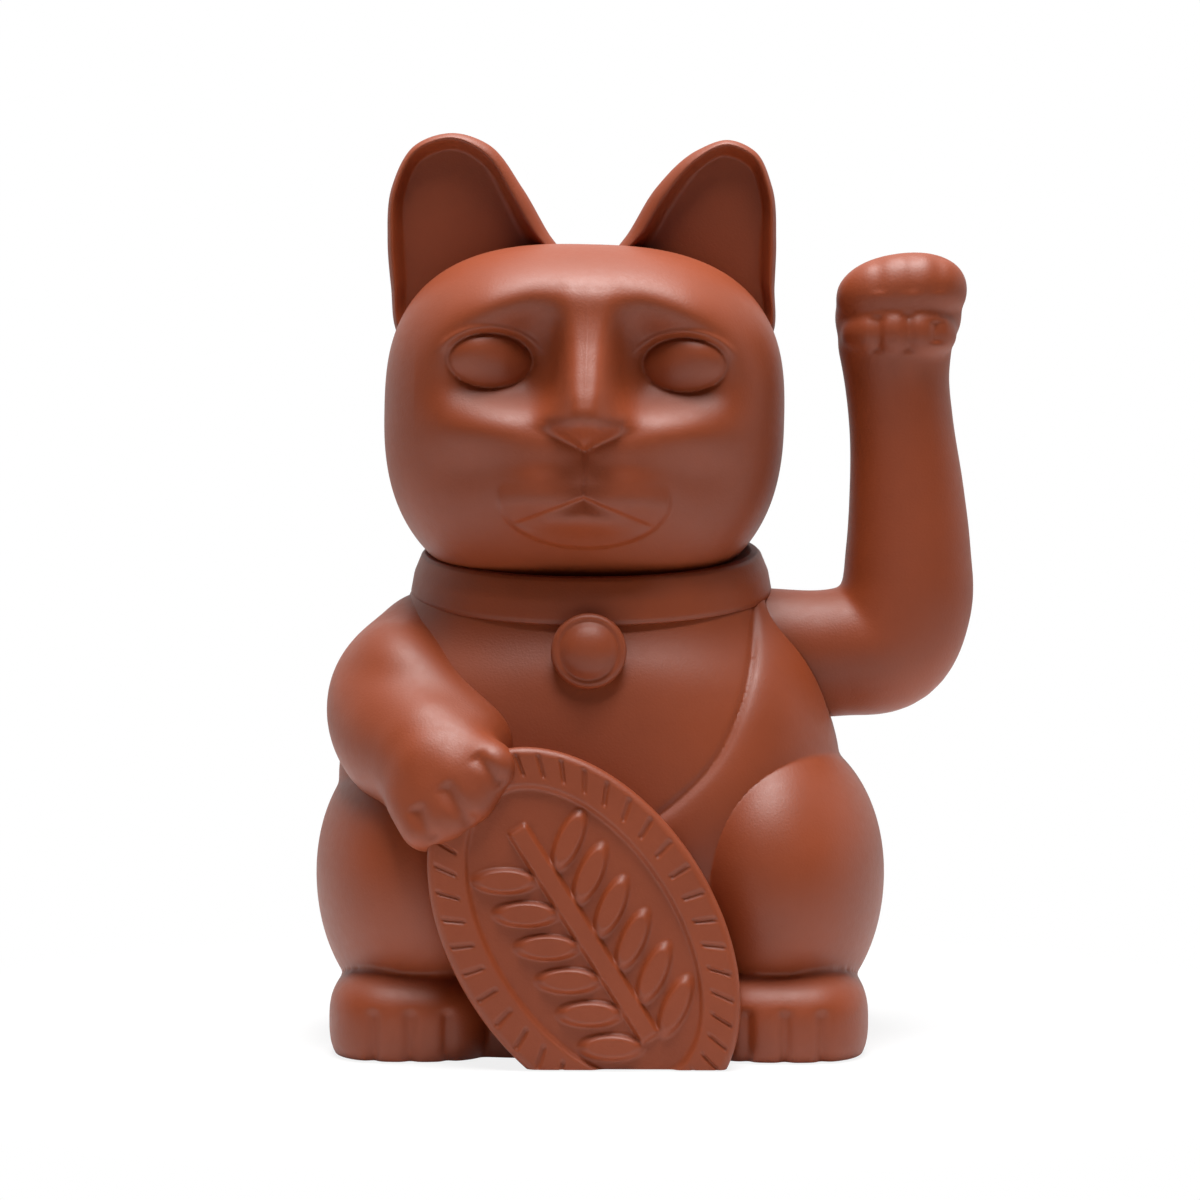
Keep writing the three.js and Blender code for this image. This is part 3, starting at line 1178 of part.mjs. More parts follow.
function bobbin() {
  return turned([
    [0, 0],
    [BOBBIN_RADIUS, 0],
    [BOBBIN_RADIUS, BOBBIN_FLANGE],
    [BOBBIN_CORE_RADIUS, BOBBIN_FLANGE],
    [BOBBIN_CORE_RADIUS, BOBBIN_HEIGHT - BOBBIN_FLANGE],
    [BOBBIN_RADIUS, BOBBIN_HEIGHT - BOBBIN_FLANGE],
    [BOBBIN_RADIUS, BOBBIN_HEIGHT],
    [0, BOBBIN_HEIGHT],
  ]);
}

function winding() {
  const inner = BOBBIN_CORE_RADIUS + SEAT_GAP;
  const low = BOBBIN_FLANGE + SEAT_GAP;
  const high = BOBBIN_HEIGHT - BOBBIN_FLANGE - SEAT_GAP;
  return turned([[inner, low], [COIL_RADIUS, low], [COIL_RADIUS, high], [inner, high], [inner, low]]);
}

// Round-headed screw; the head is at the origin and the shank points up
function screw(length) {
  return turned([
    [0, 0],
    [SCREW_HEAD_RADIUS - SCREW_HEAD_EDGE, 0],
    [SCREW_HEAD_RADIUS, SCREW_HEAD_EDGE],
    [SCREW_HEAD_RADIUS, SCREW_HEAD_HEIGHT],
    [SCREW_RADIUS, SCREW_HEAD_HEIGHT],
    [SCREW_RADIUS, length - SCREW_RADIUS],
    [0, length],
  ], SMALL_SIDES);
}

// Assembly
const cat = new THREE.Group();

function addPart(group, name, body, look) {
  const mesh = new THREE.Mesh(surface(body), new THREE.MeshStandardMaterial(look));
  mesh.name = name;
  group.add(mesh);
  return mesh;
}

const head = headShell();
addPart(cat, "head_front_shell", half(head, -1, PARTING_Y), TERRACOTTA);
addPart(cat, "head_rear_shell", half(head, 1, PARTING_Y), TERRACOTTA);

const body = bodyShell();
addPart(cat, "body_front_shell", half(body, -1, PARTING_Y), TERRACOTTA);
addPart(cat, "body_rear_shell", half(body, 1, PARTING_Y), TERRACOTTA);

const base = new THREE.Group();
cat.add(base);
addPart(base, "base_plate", basePlate(), TERRACOTTA);
const doorHinge = new THREE.Group();
doorHinge.position.set(CELL_X, DOOR_HINGE_Y, DOOR_HINGE_Z);
base.add(doorHinge);
addPart(doorHinge, "battery_door", batteryDoor(), TERRACOTTA);

const battery = addPart(base, "battery_cell", cell(), CELL_JACKET);
battery.position.set(CELL_X, CELL_START_Y, CELL_Z);
addPart(base, "spring_plate", contactPlate(SPRING_PLATE_Y), STEEL);
const rearContactY = CELL_END_Y + SEAT_GAP;
addPart(base, "positive_contact", contactPlate(rearContactY), STEEL);
const coils = wireAlong(new ConeHelix(), SPRING_WIRE, SPRING_SIDES, SPRING_STEPS);
const spring = addPart(base, "battery_spring", coils, STEEL);
spring.position.set(CELL_X, SPRING_PLATE_Y + CONTACT_THICKNESS, CELL_Z);

addPart(base, "circuit_board", board(), LAMINATE);
const coil = new THREE.Group();
coil.position.set(BOARD_X, BOARD_Y, BOARD_TOP + SEAT_GAP);
base.add(coil);
addPart(coil, "coil_bobbin", bobbin(), DARK_PLASTIC);
addPart(coil, "coil_winding", winding(), COPPER);
const chipHigh = [CHIP_LENGTH / 2, CHIP_WIDTH / 2, CHIP_HEIGHT];
const chipBlock = block([-CHIP_LENGTH / 2, -CHIP_WIDTH / 2, 0], chipHigh);
const chip = addPart(coil, "driver_chip", chipBlock, DARK_PLASTIC);
chip.position.set(BOARD_EDGE / 2 + CHIP_LENGTH / 2 - BOARD_WIDTH / 2, 0, 0);
const can = bar("z", [0, 0, 0], CAPACITOR_HEIGHT, CAPACITOR_RADIUS);
const capacitor = addPart(coil, "timing_capacitor", can, STEEL);
capacitor.position.set(BOBBIN_RADIUS + 2 * CAPACITOR_RADIUS, -BOARD_LENGTH / 4, 0);
addPart(base, "lead_negative", lead(FRONT_LEAD_Y, BOARD_Y - BOARD_LENGTH / 6), BLACK_WIRE);
addPart(base, "lead_positive", lead(REAR_LEAD_Y, BOARD_Y + BOARD_LENGTH / 6), RED_WIRE);

SCREW_PLACES.forEach(([x, y], i) => {
  const mesh = addPart(base, `base_screw_${i + 1}`, screw(SCREW_LENGTH), STEEL);
  mesh.position.set(x, y, SCREW_RECESS);
});
BOARD_SCREW_PLACES.forEach(([x, y], i) => {
  const mesh = addPart(base, `board_screw_${i + 1}`, screw(BOARD_SCREW_LENGTH), STEEL);
  mesh.position.set(x, y, BOARD_TOP + SCREW_HEAD_HEIGHT + SEAT_GAP);
  mesh.rotation.x = Math.PI;
});

const pivot = new THREE.Group();
pivot.position.set(0, PARTING_Y, PIVOT_Z);
cat.add(pivot);
const arm = armShell();
addPart(pivot, "arm_front_shell", half(arm, -1, 0), TERRACOTTA);
addPart(pivot, "arm_rear_shell", half(arm, 1, 0), TERRACOTTA);
addPart(pivot, "pivot_axle", axle(), STEEL);
addPart(pivot, "axle_clip", axleClip(), STEEL);
addPart(pivot, "pendulum_lever", lever(), DARK_PLASTIC);
addPart(pivot, "pendulum_magnet", magnet(), FERRITE);
addPart(pivot, "counterweight", counterweight(), STEEL);

export default cat;
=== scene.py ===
# %% [markdown]
# # A waving lucky cat in satin terracotta plastic
#
# The real figure is moulded in a few hollow half shells: a body, a head that sits in the collar and an arm that
# rocks on a hidden axle. This lesson dresses the CAD model of it. The body and the arm are soft, melting forms, so
# they are made as simple closed surfaces and then melted together. The face, the coin and the collar are crisp, so
# each is one grid of points whose height is written down as a formula.

import json
import math

import bpy
import numpy as np
from mathutils import Matrix, Vector


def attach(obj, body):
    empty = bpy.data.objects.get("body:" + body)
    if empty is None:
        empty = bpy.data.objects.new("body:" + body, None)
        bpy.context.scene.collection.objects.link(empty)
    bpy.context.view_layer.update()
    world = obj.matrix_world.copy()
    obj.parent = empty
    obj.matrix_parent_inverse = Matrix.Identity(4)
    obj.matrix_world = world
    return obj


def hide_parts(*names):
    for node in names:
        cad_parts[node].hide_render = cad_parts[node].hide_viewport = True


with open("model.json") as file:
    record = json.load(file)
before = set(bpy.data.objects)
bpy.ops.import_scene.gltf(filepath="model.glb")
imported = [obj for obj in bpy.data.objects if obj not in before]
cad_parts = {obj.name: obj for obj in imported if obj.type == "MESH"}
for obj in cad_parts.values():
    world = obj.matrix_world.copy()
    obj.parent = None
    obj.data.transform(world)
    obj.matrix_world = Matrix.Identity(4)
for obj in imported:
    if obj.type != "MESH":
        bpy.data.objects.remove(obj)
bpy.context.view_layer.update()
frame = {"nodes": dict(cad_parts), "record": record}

# %% [markdown]
# ## Skins from grids
#
# Every form starts as a grid: rows of rings, each ring closed on itself. A fan of triangles closes each end, so the
# result is always a watertight solid. Numbers are in millimetres, and turn into metres only when a mesh is made.

# %% Skins from grids
MM = 0.001
PARTING_Y = 3.0
PARTING_GAP = 0.16
FULL_TURN = 2 * np.pi


def outward(points, quads, tris):
    """Turns all faces round if the volume they enclose, the sum of their corner products, comes out negative."""
    corners = np.concatenate([quads[:, [0, 1, 2]], quads[:, [0, 2, 3]], tris])
    a, b, c = points[corners[:, 0]], points[corners[:, 1]], points[corners[:, 2]]
    if np.einsum("ij,ij->i", a, np.cross(b, c)).sum() < 0:
        return points, quads[:, ::-1], tris[:, ::-1]
    return points, quads, tris


def ring_quads(rows, columns, wrap_rows=False):
    """Quads between each ring and the next; the last ring also joins the first where wrap_rows is true."""
    ring = np.arange(columns)
    after = np.roll(ring, -1)
    first = np.arange(rows if wrap_rows else rows - 1)[:, None] * columns
    second = (first + columns) % (rows * columns)
    return np.stack([first + ring, first + after, second + after, second + ring], -1).reshape(-1, 4)


def ring_skin(grid):
    """Closed skin over rows of rings, with a fan from the middle of the first and of the last ring."""
    rows, columns, _ = grid.shape
    ring = np.arange(columns)
    after = np.roll(ring, -1)
    low, high, top = rows * columns, rows * columns + 1, (rows - 1) * columns
    fans = [np.stack([np.full(columns, low), after, ring], -1)]
    fans.append(np.stack([np.full(columns, high), top + ring, top + after], -1))
    points = np.concatenate([grid.reshape(-1, 3), grid[:1].mean(1), grid[-1:].mean(1)])
    return outward(points, ring_quads(rows, columns), np.concatenate(fans))


def loop_skin(grid):
    """Closed skin over a ring of rings, as on a bracelet."""
    rows, columns, _ = grid.shape
    return outward(grid.reshape(-1, 3), ring_quads(rows, columns, True), np.zeros((0, 3), int))


def joined(skins):
    """Several skins as one list of points and faces."""
    starts = np.cumsum([0] + [len(skin[0]) for skin in skins])
    points = np.concatenate([skin[0] for skin in skins])
    quads = np.concatenate([skin[1] + start for skin, start in zip(skins, starts)])
    tris = np.concatenate([skin[2] + start for skin, start in zip(skins, starts)])
    return points, quads, tris


def to_object(name, skin):
    """A Blender mesh object at the origin, in metres, from a skin in millimetres."""
    points, quads, tris = skin
    mesh = bpy.data.meshes.new(name)
    mesh.from_pydata(points * MM, [], quads.tolist() + tris.tolist())
    thing = bpy.data.objects.new(name, mesh)
    bpy.context.scene.collection.objects.link(thing)
    return thing


def through(stations, where):
    """Smooth curve through (place, value) stations: a cubic between neighbours, with slopes from both sides."""
    place, value = np.array(stations, float).T
    slope = np.gradient(value, place)
    where = np.clip(where, place[0], place[-1])
    i = np.clip(np.searchsorted(place, where) - 1, 0, len(place) - 2)
    span = place[i + 1] - place[i]
    t = (where - place[i]) / span
    start = value[i] * (1 + 2 * t) * (1 - t) ** 2 + slope[i] * span * t * (1 - t) ** 2
    return start + value[i + 1] * t**2 * (3 - 2 * t) + slope[i + 1] * span * t**2 * (t - 1)


def path_through(points, count):
    """Smooth path in space through a few points, with count steps of even length measured along its chords."""
    points = np.array(points, float)
    place = np.concatenate([[0], np.cumsum(np.linalg.norm(np.diff(points, axis=0), axis=1))])
    along = np.linspace(0, place[-1], count)
    path = np.stack([through(np.column_stack([place, axis]), along) for axis in points.T], -1)
    return path, along, place


def step(low, high, value):
    """Smooth step from 0 at low to 1 at high; low may be the larger one."""
    t = np.clip((value - low) / (high - low), 0, 1)
    return t * t * (3 - 2 * t)


def turning(degrees, axis):
    """Rotation matrix about X, Y or Z."""
    return np.array(Matrix.Rotation(math.radians(degrees), 3, axis))


# %% [markdown]
# ## Eggs and limbs
#
# Two forms give most of the cat. An egg is a ball stretched along three axes, whose squareness fills out its
# corners. A limb is a circle carried along a smooth path with a radius that changes on the way, closed by half
# balls.

# %% Eggs and limbs
def egg(centre, reach, square=2.0, turn=None, rows=60, columns=120):
    """Superellipsoid: each direction is scaled until |x|^n + |y|^n + |z|^n is 1, then stretched, turned and moved."""
    rise = np.linspace(-np.pi / 2, np.pi / 2, rows + 2)[1:-1, None]
    angle = np.linspace(0, FULL_TURN, columns, endpoint=False)[None]
    way = np.stack([np.cos(rise) * np.cos(angle), np.cos(rise) * np.sin(angle), np.sin(rise) + 0 * angle], -1)
    way = way * (np.abs(way) ** square).sum(-1, keepdims=True) ** (-1 / square) * np.array(reach, float)
    if turn is not None:
        way = way @ turn.T
    return ring_skin(way + np.array(centre, float))


def limb(points, radii, rings=70, columns=48):
    """Circles carried along a smooth path, each square to it, with quarter-circle domes at both ends."""
    path, along, place = path_through(points, rings)
    radius = through(np.column_stack([place, radii]), along)
    forward = np.gradient(path, along, axis=0)
    forward /= np.linalg.norm(forward, axis=1, keepdims=True)
    bend = np.linspace(np.pi / 2, 0, 12)[1:-1]
    start = path[0] - forward[0] * (radius[0] * np.sin(bend))[:, None]
    end = path[-1] + forward[-1] * (radius[-1] * np.sin(bend[::-1]))[:, None]
    centres = np.concatenate([start, path, end])
    sizes = np.concatenate([radius[0] * np.cos(bend), radius, radius[-1] * np.cos(bend[::-1])])
    ways = np.concatenate([np.repeat(forward[:1], 10, 0), forward, np.repeat(forward[-1:], 10, 0)])
    upright = np.eye(3)[np.argmin(np.abs(forward).max(0))]
    side = np.cross(ways, upright)
    side /= np.linalg.norm(side, axis=1, keepdims=True)
    other = np.cross(side, ways)
    angle = np.linspace(0, FULL_TURN, columns, endpoint=False)[None, :, None]
    rings_of = np.cos(angle) * side[:, None] + np.sin(angle) * other[:, None]
    return ring_skin(centres[:, None] + sizes[:, None, None] * rings_of)


def box(low, high):
    """Rectangular block as a skin of four rings, for cutting."""
    (x0, y0, z0), (x1, y1, z1) = low, high
    ring = np.array([[x0, y0], [x1, y0], [x1, y1], [x0, y1]], float)
    rows = [np.column_stack([ring, np.full(4, z)]) for z in (z0, z1)]
    return ring_skin(np.array(rows))


def rod(start, end, radius, columns=96):
    """Straight round bar between two points, for cutting."""
    start, end = np.array(start, float), np.array(end, float)
    way = (end - start) / np.linalg.norm(end - start)
    side = np.cross(way, np.eye(3)[np.argmin(np.abs(way))])
    side /= np.linalg.norm(side)
    angle = np.linspace(0, FULL_TURN, columns, endpoint=False)[:, None]
    ring = radius * (np.cos(angle) * side + np.sin(angle) * np.cross(way, side))
    return ring_skin(np.array([start + ring, end + ring]))


# %% [markdown]
# ## Melting forms together
#
# A moulded figure has no sharp seams where an arm leaves the chest: the mould maker's clay was smoothed over. The
# forms are joined, turned into one skin of small even squares by a Remesh modifier, and a Smooth modifier then
# rounds the creases by about the same amount everywhere.

# %% Melting forms together
def read_skin(mesh):
    """Points in millimetres and faces of a mesh that has only quads and triangles."""
    points = np.empty(len(mesh.vertices) * 3)
    mesh.vertices.foreach_get("co", points)
    totals = np.empty(len(mesh.polygons), int)
    mesh.polygons.foreach_get("loop_total", totals)
    starts = np.empty(len(mesh.polygons), int)
    mesh.polygons.foreach_get("loop_start", starts)
    corners = np.empty(len(mesh.loops), int)
    mesh.loops.foreach_get("vertex_index", corners)
    quads = corners[starts[totals == 4][:, None] + np.arange(4)]
    tris = corners[starts[totals == 3][:, None] + np.arange(3)]
    return points.reshape(-1, 3) / MM, quads, tris


def finished(thing):
    """The mesh of an object with its modifiers applied; the object and its old mesh go."""
    view = bpy.context.evaluated_depsgraph_get()
    mesh = bpy.data.meshes.new_from_object(thing.evaluated_get(view))
    old = thing.data
    bpy.data.objects.remove(thing)
    bpy.data.meshes.remove(old)
    return mesh


def melted(skins, size, passes):
    """One even skin round all the forms, with creases rounded by the passes of smoothing."""
    lump = to_object("lump", joined(skins))
    remesh = lump.modifiers.new("one skin", "REMESH")
    remesh.mode = "VOXEL"
    remesh.voxel_size = size * MM
    soften = lump.modifiers.new("soft creases", "SMOOTH")
    soften.factor = 0.5
    soften.iterations = passes
    mesh = finished(lump)
    skin = read_skin(mesh)
    bpy.data.meshes.remove(mesh)
    return skin


# %% [markdown]
# ## Cutting
#
# Real shells have crisp edges where the mould parts and where pockets are cut, so cuts come after the melting.
# Boolean modifiers take simple blocks and bars away, and many-sided faces are split so that a later cut can read
# them.

# %% Cutting
def carved(name, skin, cuts, keep, joins=()):
    """Object from a skin with every join added, less every cut, and only inside every keep block."""
    thing = to_object(name, skin)
    tools = []
    for kind, forms in (("UNION", joins), ("DIFFERENCE", cuts), ("INTERSECT", keep)):
        for form in forms:
            tool = to_object("tool", form)
            modifier = thing.modifiers.new("cut", "BOOLEAN")
            modifier.operation = kind
            modifier.solver = "MANIFOLD"
            modifier.object = tool
            tools.append(tool)
    thing.modifiers.new("split many-sided faces", "TRIANGULATE").min_vertices = 5
    mesh = finished(thing)
    for tool in tools:
        old = tool.data
        bpy.data.objects.remove(tool)
        bpy.data.meshes.remove(old)
    piece = bpy.data.objects.new(name, mesh)
    bpy.context.scene.collection.objects.link(piece)
    return piece


# %% [markdown]
# ## Pressing grooves
#
# Where a tool has pressed a line into clay, the skin is only moved a little. Each point near the line moves inward
# along its normal, deepest on the line, so the skin stays whole and even.

# %% Pressing grooves
def normals_of(skin):
    """Unit normal at each point: the sum of the diagonals' cross products of the quads round it."""
    points, quads, _ = skin
    cross = np.cross(points[quads[:, 2]] - points[quads[:, 0]], points[quads[:, 3]] - points[quads[:, 1]])
    total = np.zeros_like(points)
    for corner in range(4):
        np.add.at(total, quads[:, corner], cross)
    return total / np.maximum(np.linalg.norm(total, axis=1, keepdims=True), 1e-12)


def near_line(points, line):
    """Distance of each point from a line of straight stretches, and how far along the line the nearest place is."""
    line = np.array(line, float)
    best = np.full(len(points), np.inf)
    share = np.zeros(len(points))
    for number, (start, end) in enumerate(zip(line[:-1], line[1:])):
        way = end - start
        t = np.clip(((points - start) @ way) / (way @ way), 0, 1)
        gap = np.linalg.norm(points - start - t[:, None] * way, axis=1)
        closer = gap < best
        best[closer] = gap[closer]
        share[closer] = (number + t[closer]) / (len(line) - 1)
    return best, share


def pressed(skin, grooves, nearer):
    """Presses grooves (line of x and z, width, depth) into what faces the front and lies nearer than a plane in Y."""
    points, quads, tris = skin
    normals = normals_of(skin)
    push = np.zeros(len(points))
    for line, width, depth in grooves:
        gap, share = near_line(points[:, [0, 2]], line)
        push -= depth * step(0, 0.15, share) * step(1, 0.85, share) * np.exp(-((gap / width) ** 2))
    push *= step(0, -0.3, normals[:, 1]) * step(nearer + 1, nearer - 1, points[:, 1])
    return points + normals * push[:, None], quads, tris


# %% [markdown]
# ## Keeping a piece
#
# A finished piece is shaded smooth and hung on the body that carries it, and the CAD nodes it stands for are hidden.

# %% Keeping a piece
PIECES = {}


def keep_piece(piece, body, sharp=38, nodes=()):
    """Shades a piece smooth except over sharp edges, hangs it on its body and hides the CAD nodes it stands for."""
    piece.data.shade_smooth()
    piece.data.set_sharp_from_angle(angle=math.radians(sharp))
    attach(piece, body)
    if nodes:
        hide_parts(*nodes)
    piece.data.calc_loop_triangles()
    PIECES[piece.name] = piece
    print(piece.name, len(piece.data.loop_triangles), "triangles")


# %% [markdown]
# ## The body
#
# The torso is a stack of rounded squares. Two big eggs are the haunches and two squarer ones the feet. Limbs make
# the tail curled against the back and the resting arm, which is melted on its own because its creases are softer.

# %% The body's forms
WALL = 2.2
LEGS_X = 1.8
TILT = math.tan(math.radians(8.5))
TORSO = [(-4, 39, 35, 38), (0, 39, 35, 38), (24, 40.5, 36, 39.5), (50, 41, 32.6, 35.5), (62, 36.4, 29.6, 31.5)]
TORSO += [(70, 31.6, 26.6, 27.4), (77, 28.4, 24.6, 24.8)]


def torso(inset=0.0, top=77.0):
    """Rounded squares stacked in Z, each with its front and rear reach, that become leaning ovals at the neck."""
    z = np.linspace(-4, top, 90)[:, None]
    angle = np.linspace(0, FULL_TURN, 180, endpoint=False)[None]
    table = np.array(TORSO)
    wide, front, rear = [through(table[:, [0, k]], z[:, 0])[:, None] - inset for k in (1, 2, 3)]
    power = 2.6 - 0.55 * step(52, 72, z)
    scale = (np.abs(np.cos(angle)) ** power + np.abs(np.sin(angle)) ** power) ** (-1 / power)
    x = wide * scale * np.cos(angle)
    y = PARTING_Y + np.where(np.sin(angle) < 0, front, rear) * scale * np.sin(angle)
    lean = TILT * (y - PARTING_Y) * step(58, 77, z)
    return ring_skin(np.stack([x, y, z + lean], -1))


def haunch(side, inset=0.0):
    """Egg whose top leans away from the belly."""
    reach = np.array([18.8, 32.5, 24.8]) - inset
    return egg([LEGS_X + side * 28.3, -3, 26], reach, 2.05, turning(side * 4, "Y"))


def foot(side, inset=0.0):
    """Flat egg with full corners; its lower part goes through the ground."""
    reach = np.array([14.0, 19.8, 9.4]) - inset
    return egg([LEGS_X + side * 29.8, -17.4, 5.0], reach, 2.9)


ARM_PATH = [(-26, 2, 62.6), (-30.4, -8, 56), (-28.6, -19, 50.6), (-24.8, -27, 47.8)]
ARM_RADII = [11.3, 12.8, 12.2, 10.8]
FINGERS = [
    [(-28, -26, 46), (-27.4, -34.4, 42.4), (-25.4, -38.0, 37.6)],
    [(-26, -26, 47), (-24.4, -36.0, 43.8), (-21.9, -38.8, 39.3)],
    [(-24, -26, 48), (-21.0, -36.4, 46.2), (-17.9, -39.0, 42.5)],
    [(-22, -24, 48), (-18.4, -34.6, 48.4), (-14.8, -38.4, 47.2)],
]
FINGER_RADII = [(5.4, 5.0, 4.3), (5.6, 5.4, 4.5), (5.6, 5.4, 4.5), (5.4, 4.9, 4.6)]
PAW = [(-26.0, -23, 49.2), (-21.8, -30.4, 47.2)]
FOREARM_EDGE = [(-31, -3, 61.0), (-30.6, -13, 59.4), (-25.2, -20.6, 53.6), (-19.8, -26.6, 49.0)]
TAIL = [(-3, 37, 8), (6, 40.5, 9), (13, 40.0, 16), (13.5, 38.6, 26)]

body_forms = [torso()] + [form(side) for form in (haunch, foot) for side in (-1, 1)]
body_forms += [limb(TAIL, [5.5, 5.8, 5.6, 4.6])]
body_skin = melted(body_forms, 0.5, 4)
rest_forms = [limb(ARM_PATH, ARM_RADII), limb(PAW, [10.2, 9.0]), limb(FOREARM_EDGE, [9.0, 9.4, 9.2, 8.8])]
rest_forms += [egg((-23.2, -31.0, 44.6), (9.4, 9.8, 10.4), 2.2)]
rest_forms += [limb(path, radii, 24, 32) for path, radii in zip(FINGERS, FINGER_RADII)]
rest_arm = melted(rest_forms, 0.5, 120)
print("body skin", len(body_skin[0]), "points, resting arm", len(rest_arm[0]))

# %% [markdown]
# ## Band and grooves
#
# Toes and fingers are told apart by shallow channels pressed into the finished skin, and the band from the raised
# shoulder to the belly is raised on it. Both move points along their normals, which keeps the grid and costs no
# cut.

# %% Band and grooves

TOE_LINES = [[(x, -2.0), (x, 3.0), (x, 9.0)] for x in (-34, -28, -22, 25.6, 31.6, 37.6)]
FINGER_LINES = [[(-27.0, 41.6), (-25.6, 38.6), (-23.6, 35.6)], [(-22.6, 45.2), (-20.2, 41.8), (-17.2, 38.0)]]
FINGER_LINES += [[(-17.8, 49.8), (-15.4, 47.4), (-12.6, 44.4)]]
BAND_EDGE = [(27.4, 74.5), (27.2, 69), (26.6, 63.0), (24.6, 55.2), (20.4, 47.1), (15.6, 42.1)]
BAND_EDGE += [(10.6, 38.2), (5.0, 34.6)]


def banded(skin):
    """Raises the band from shoulder to belly: off a thin crease its height grows to 1.3 mm, fast at first."""
    points, quads, tris = skin
    flat = points[:, [0, 2]]
    line, _, _ = path_through(np.column_stack([BAND_EDGE, np.zeros(len(BAND_EDGE))]), 60)
    gap, share = near_line(flat, line[:, :2])
    inside = flat[:, 0] > np.interp(flat[:, 1], line[::-1, 1], line[::-1, 0])
    signed = np.where(inside, gap, -gap)
    rise = 1.3 * (1 - np.exp(-np.clip(signed, 0, None) / 2.0)) * step(20, 6, signed)
    rise -= 0.35 * np.exp(-((signed / 0.6) ** 2))
    fade = step(1.0, 0.8, share) * step(-2, -9, points[:, 1])
    return points + normals_of(skin) * (rise * fade)[:, None], quads, tris


body_skin = banded(body_skin)
body_skin = pressed(body_skin, [(line, 1.0, 0.8) for line in TOE_LINES], -28)
rest_arm = pressed(rest_arm, [(line, 1.2, 0.7) for line in FINGER_LINES], -33)
print("grooves", len(TOE_LINES), "between toes,", len(FINGER_LINES), "between fingers")

# %% [markdown]
# ## Hollow and parting line
#
# The real shell is a few millimetres thick, open below where the base plate closes it, with a round pocket for the
# raised arm. The two halves meet on a plane through the ears, and a hair's gap between them is the parting line. A
# thin lip behind the gap, as moulded shells have, stops the eye from looking through.

# %% The body's two halves
PIVOT_Z = 63.3
POCKET_X = 27.5
POCKET_RADIUS = 11.65
AXLE_HOLE = 1.8
POCKET_END = (90, PARTING_Y, PIVOT_Z)
BEYOND, ABOVE = 99, 199
LIP = 0.3 * PARTING_GAP
hollow_forms = [torso(WALL, 72)] + [form(side, WALL + 0.6) for form in (haunch, foot) for side in (-1, 1)]
hollow = melted(hollow_forms, 1.1, 2)
cup = rod((POCKET_X - WALL, PARTING_Y, PIVOT_Z), POCKET_END, POCKET_RADIUS + WALL)
hollow_piece = carved("hollow", hollow, [cup], [])
hollow = read_skin(hollow_piece.data)
bpy.data.objects.remove(hollow_piece)
pocket = rod((POCKET_X, PARTING_Y, PIVOT_Z), POCKET_END, POCKET_RADIUS)
axle_hole = rod((0, PARTING_Y, PIVOT_Z), (40, PARTING_Y, PIVOT_Z), AXLE_HOLE)
tongue = box((-8, -44, -1), (21, -26, 0.08))  # lifts the rim off the base plate's front tongue
FRONT = box((-BEYOND, -BEYOND, 0), (BEYOND, PARTING_Y - PARTING_GAP / 2, ABOVE))
REAR = box((-BEYOND, PARTING_Y + PARTING_GAP / 2, 0), (BEYOND, BEYOND, ABOVE))
for name, half in (("front", FRONT), ("rear", REAR)):
    cuts = [hollow, pocket, axle_hole, tongue]
    piece = carved(f"moulded_body_{name}", body_skin, cuts, [half], [rest_arm])
    keep_piece(piece, "figure", nodes=[f"body_{name}_shell"])
LIP_SLAB = box((-BEYOND, PARTING_Y - LIP, 0), (BEYOND, PARTING_Y + LIP, ABOVE))


def inset(skin, depth=0.5):
    """Skin moved inward along its normals, in mm."""
    points, quads, tris = skin
    return points - normals_of(skin) * depth, quads, tris


holes = [hollow, pocket, axle_hole]
keep_piece(carved("body_lip", inset(body_skin), holes, [LIP_SLAB], [inset(rest_arm)]), "figure")

# %% [markdown]
# ## Collar and bell
#
# The collar is a plain band that leans forward, so its profile, rounded outside and closed over the neck, is
# carried round a leaning oval. The bell is turned: a profile of a rim, a shallow trough and a dome, spun about the
# line it faces along.

# %% Collar and bell
COLLAR_Z = 73.8
COLLAR_PROFILE = [(0.2, -1.0), (1.0, -0.7), (1.15, 0.0), (0.6, 3.0), (-0.6, 5.9), (-1.1, 6.4)]
COLLAR_PROFILE += [(-2.3, 6.5), (-3.2, 6.2), (-5.0, 6.0), (-9.0, 5.6), (-9.0, -1.0)]


def collar():
    """Closed profile (out, up) carried round an oval 58 mm wide and 52 mm deep that leans forward."""
    angle = np.linspace(0, FULL_TURN, 240, endpoint=False)[:, None]
    profile = np.array(COLLAR_PROFILE + COLLAR_PROFILE[:1])
    place = np.linspace(0, 1, len(profile))
    fine = np.linspace(0, 1, 73)[:-1]
    out, up = [np.interp(fine, place, profile[:, k])[None] for k in (0, 1)]
    x = (29.0 + out) * np.cos(angle)
    y = (26.0 + out) * np.sin(angle)
    return loop_skin(np.stack([x + 0.2, PARTING_Y + y, COLLAR_Z + up + TILT * y], -1))


def turned(profile, centre, facing, columns=120):
    """Profile of (radius, height) spun about a line through centre that looks along facing."""
    radius, height = np.array(profile, float).T
    facing = np.array(facing, float) / np.linalg.norm(facing)
    side = np.cross(facing, [0, 0, 1.0])
    side /= np.linalg.norm(side)
    angle = np.linspace(0, FULL_TURN, columns, endpoint=False)[None, :, None]
    ring = np.cos(angle) * side + np.sin(angle) * np.cross(side, facing)
    return ring_skin(np.array(centre) + radius[:, None, None] * ring + height[:, None, None] * facing)


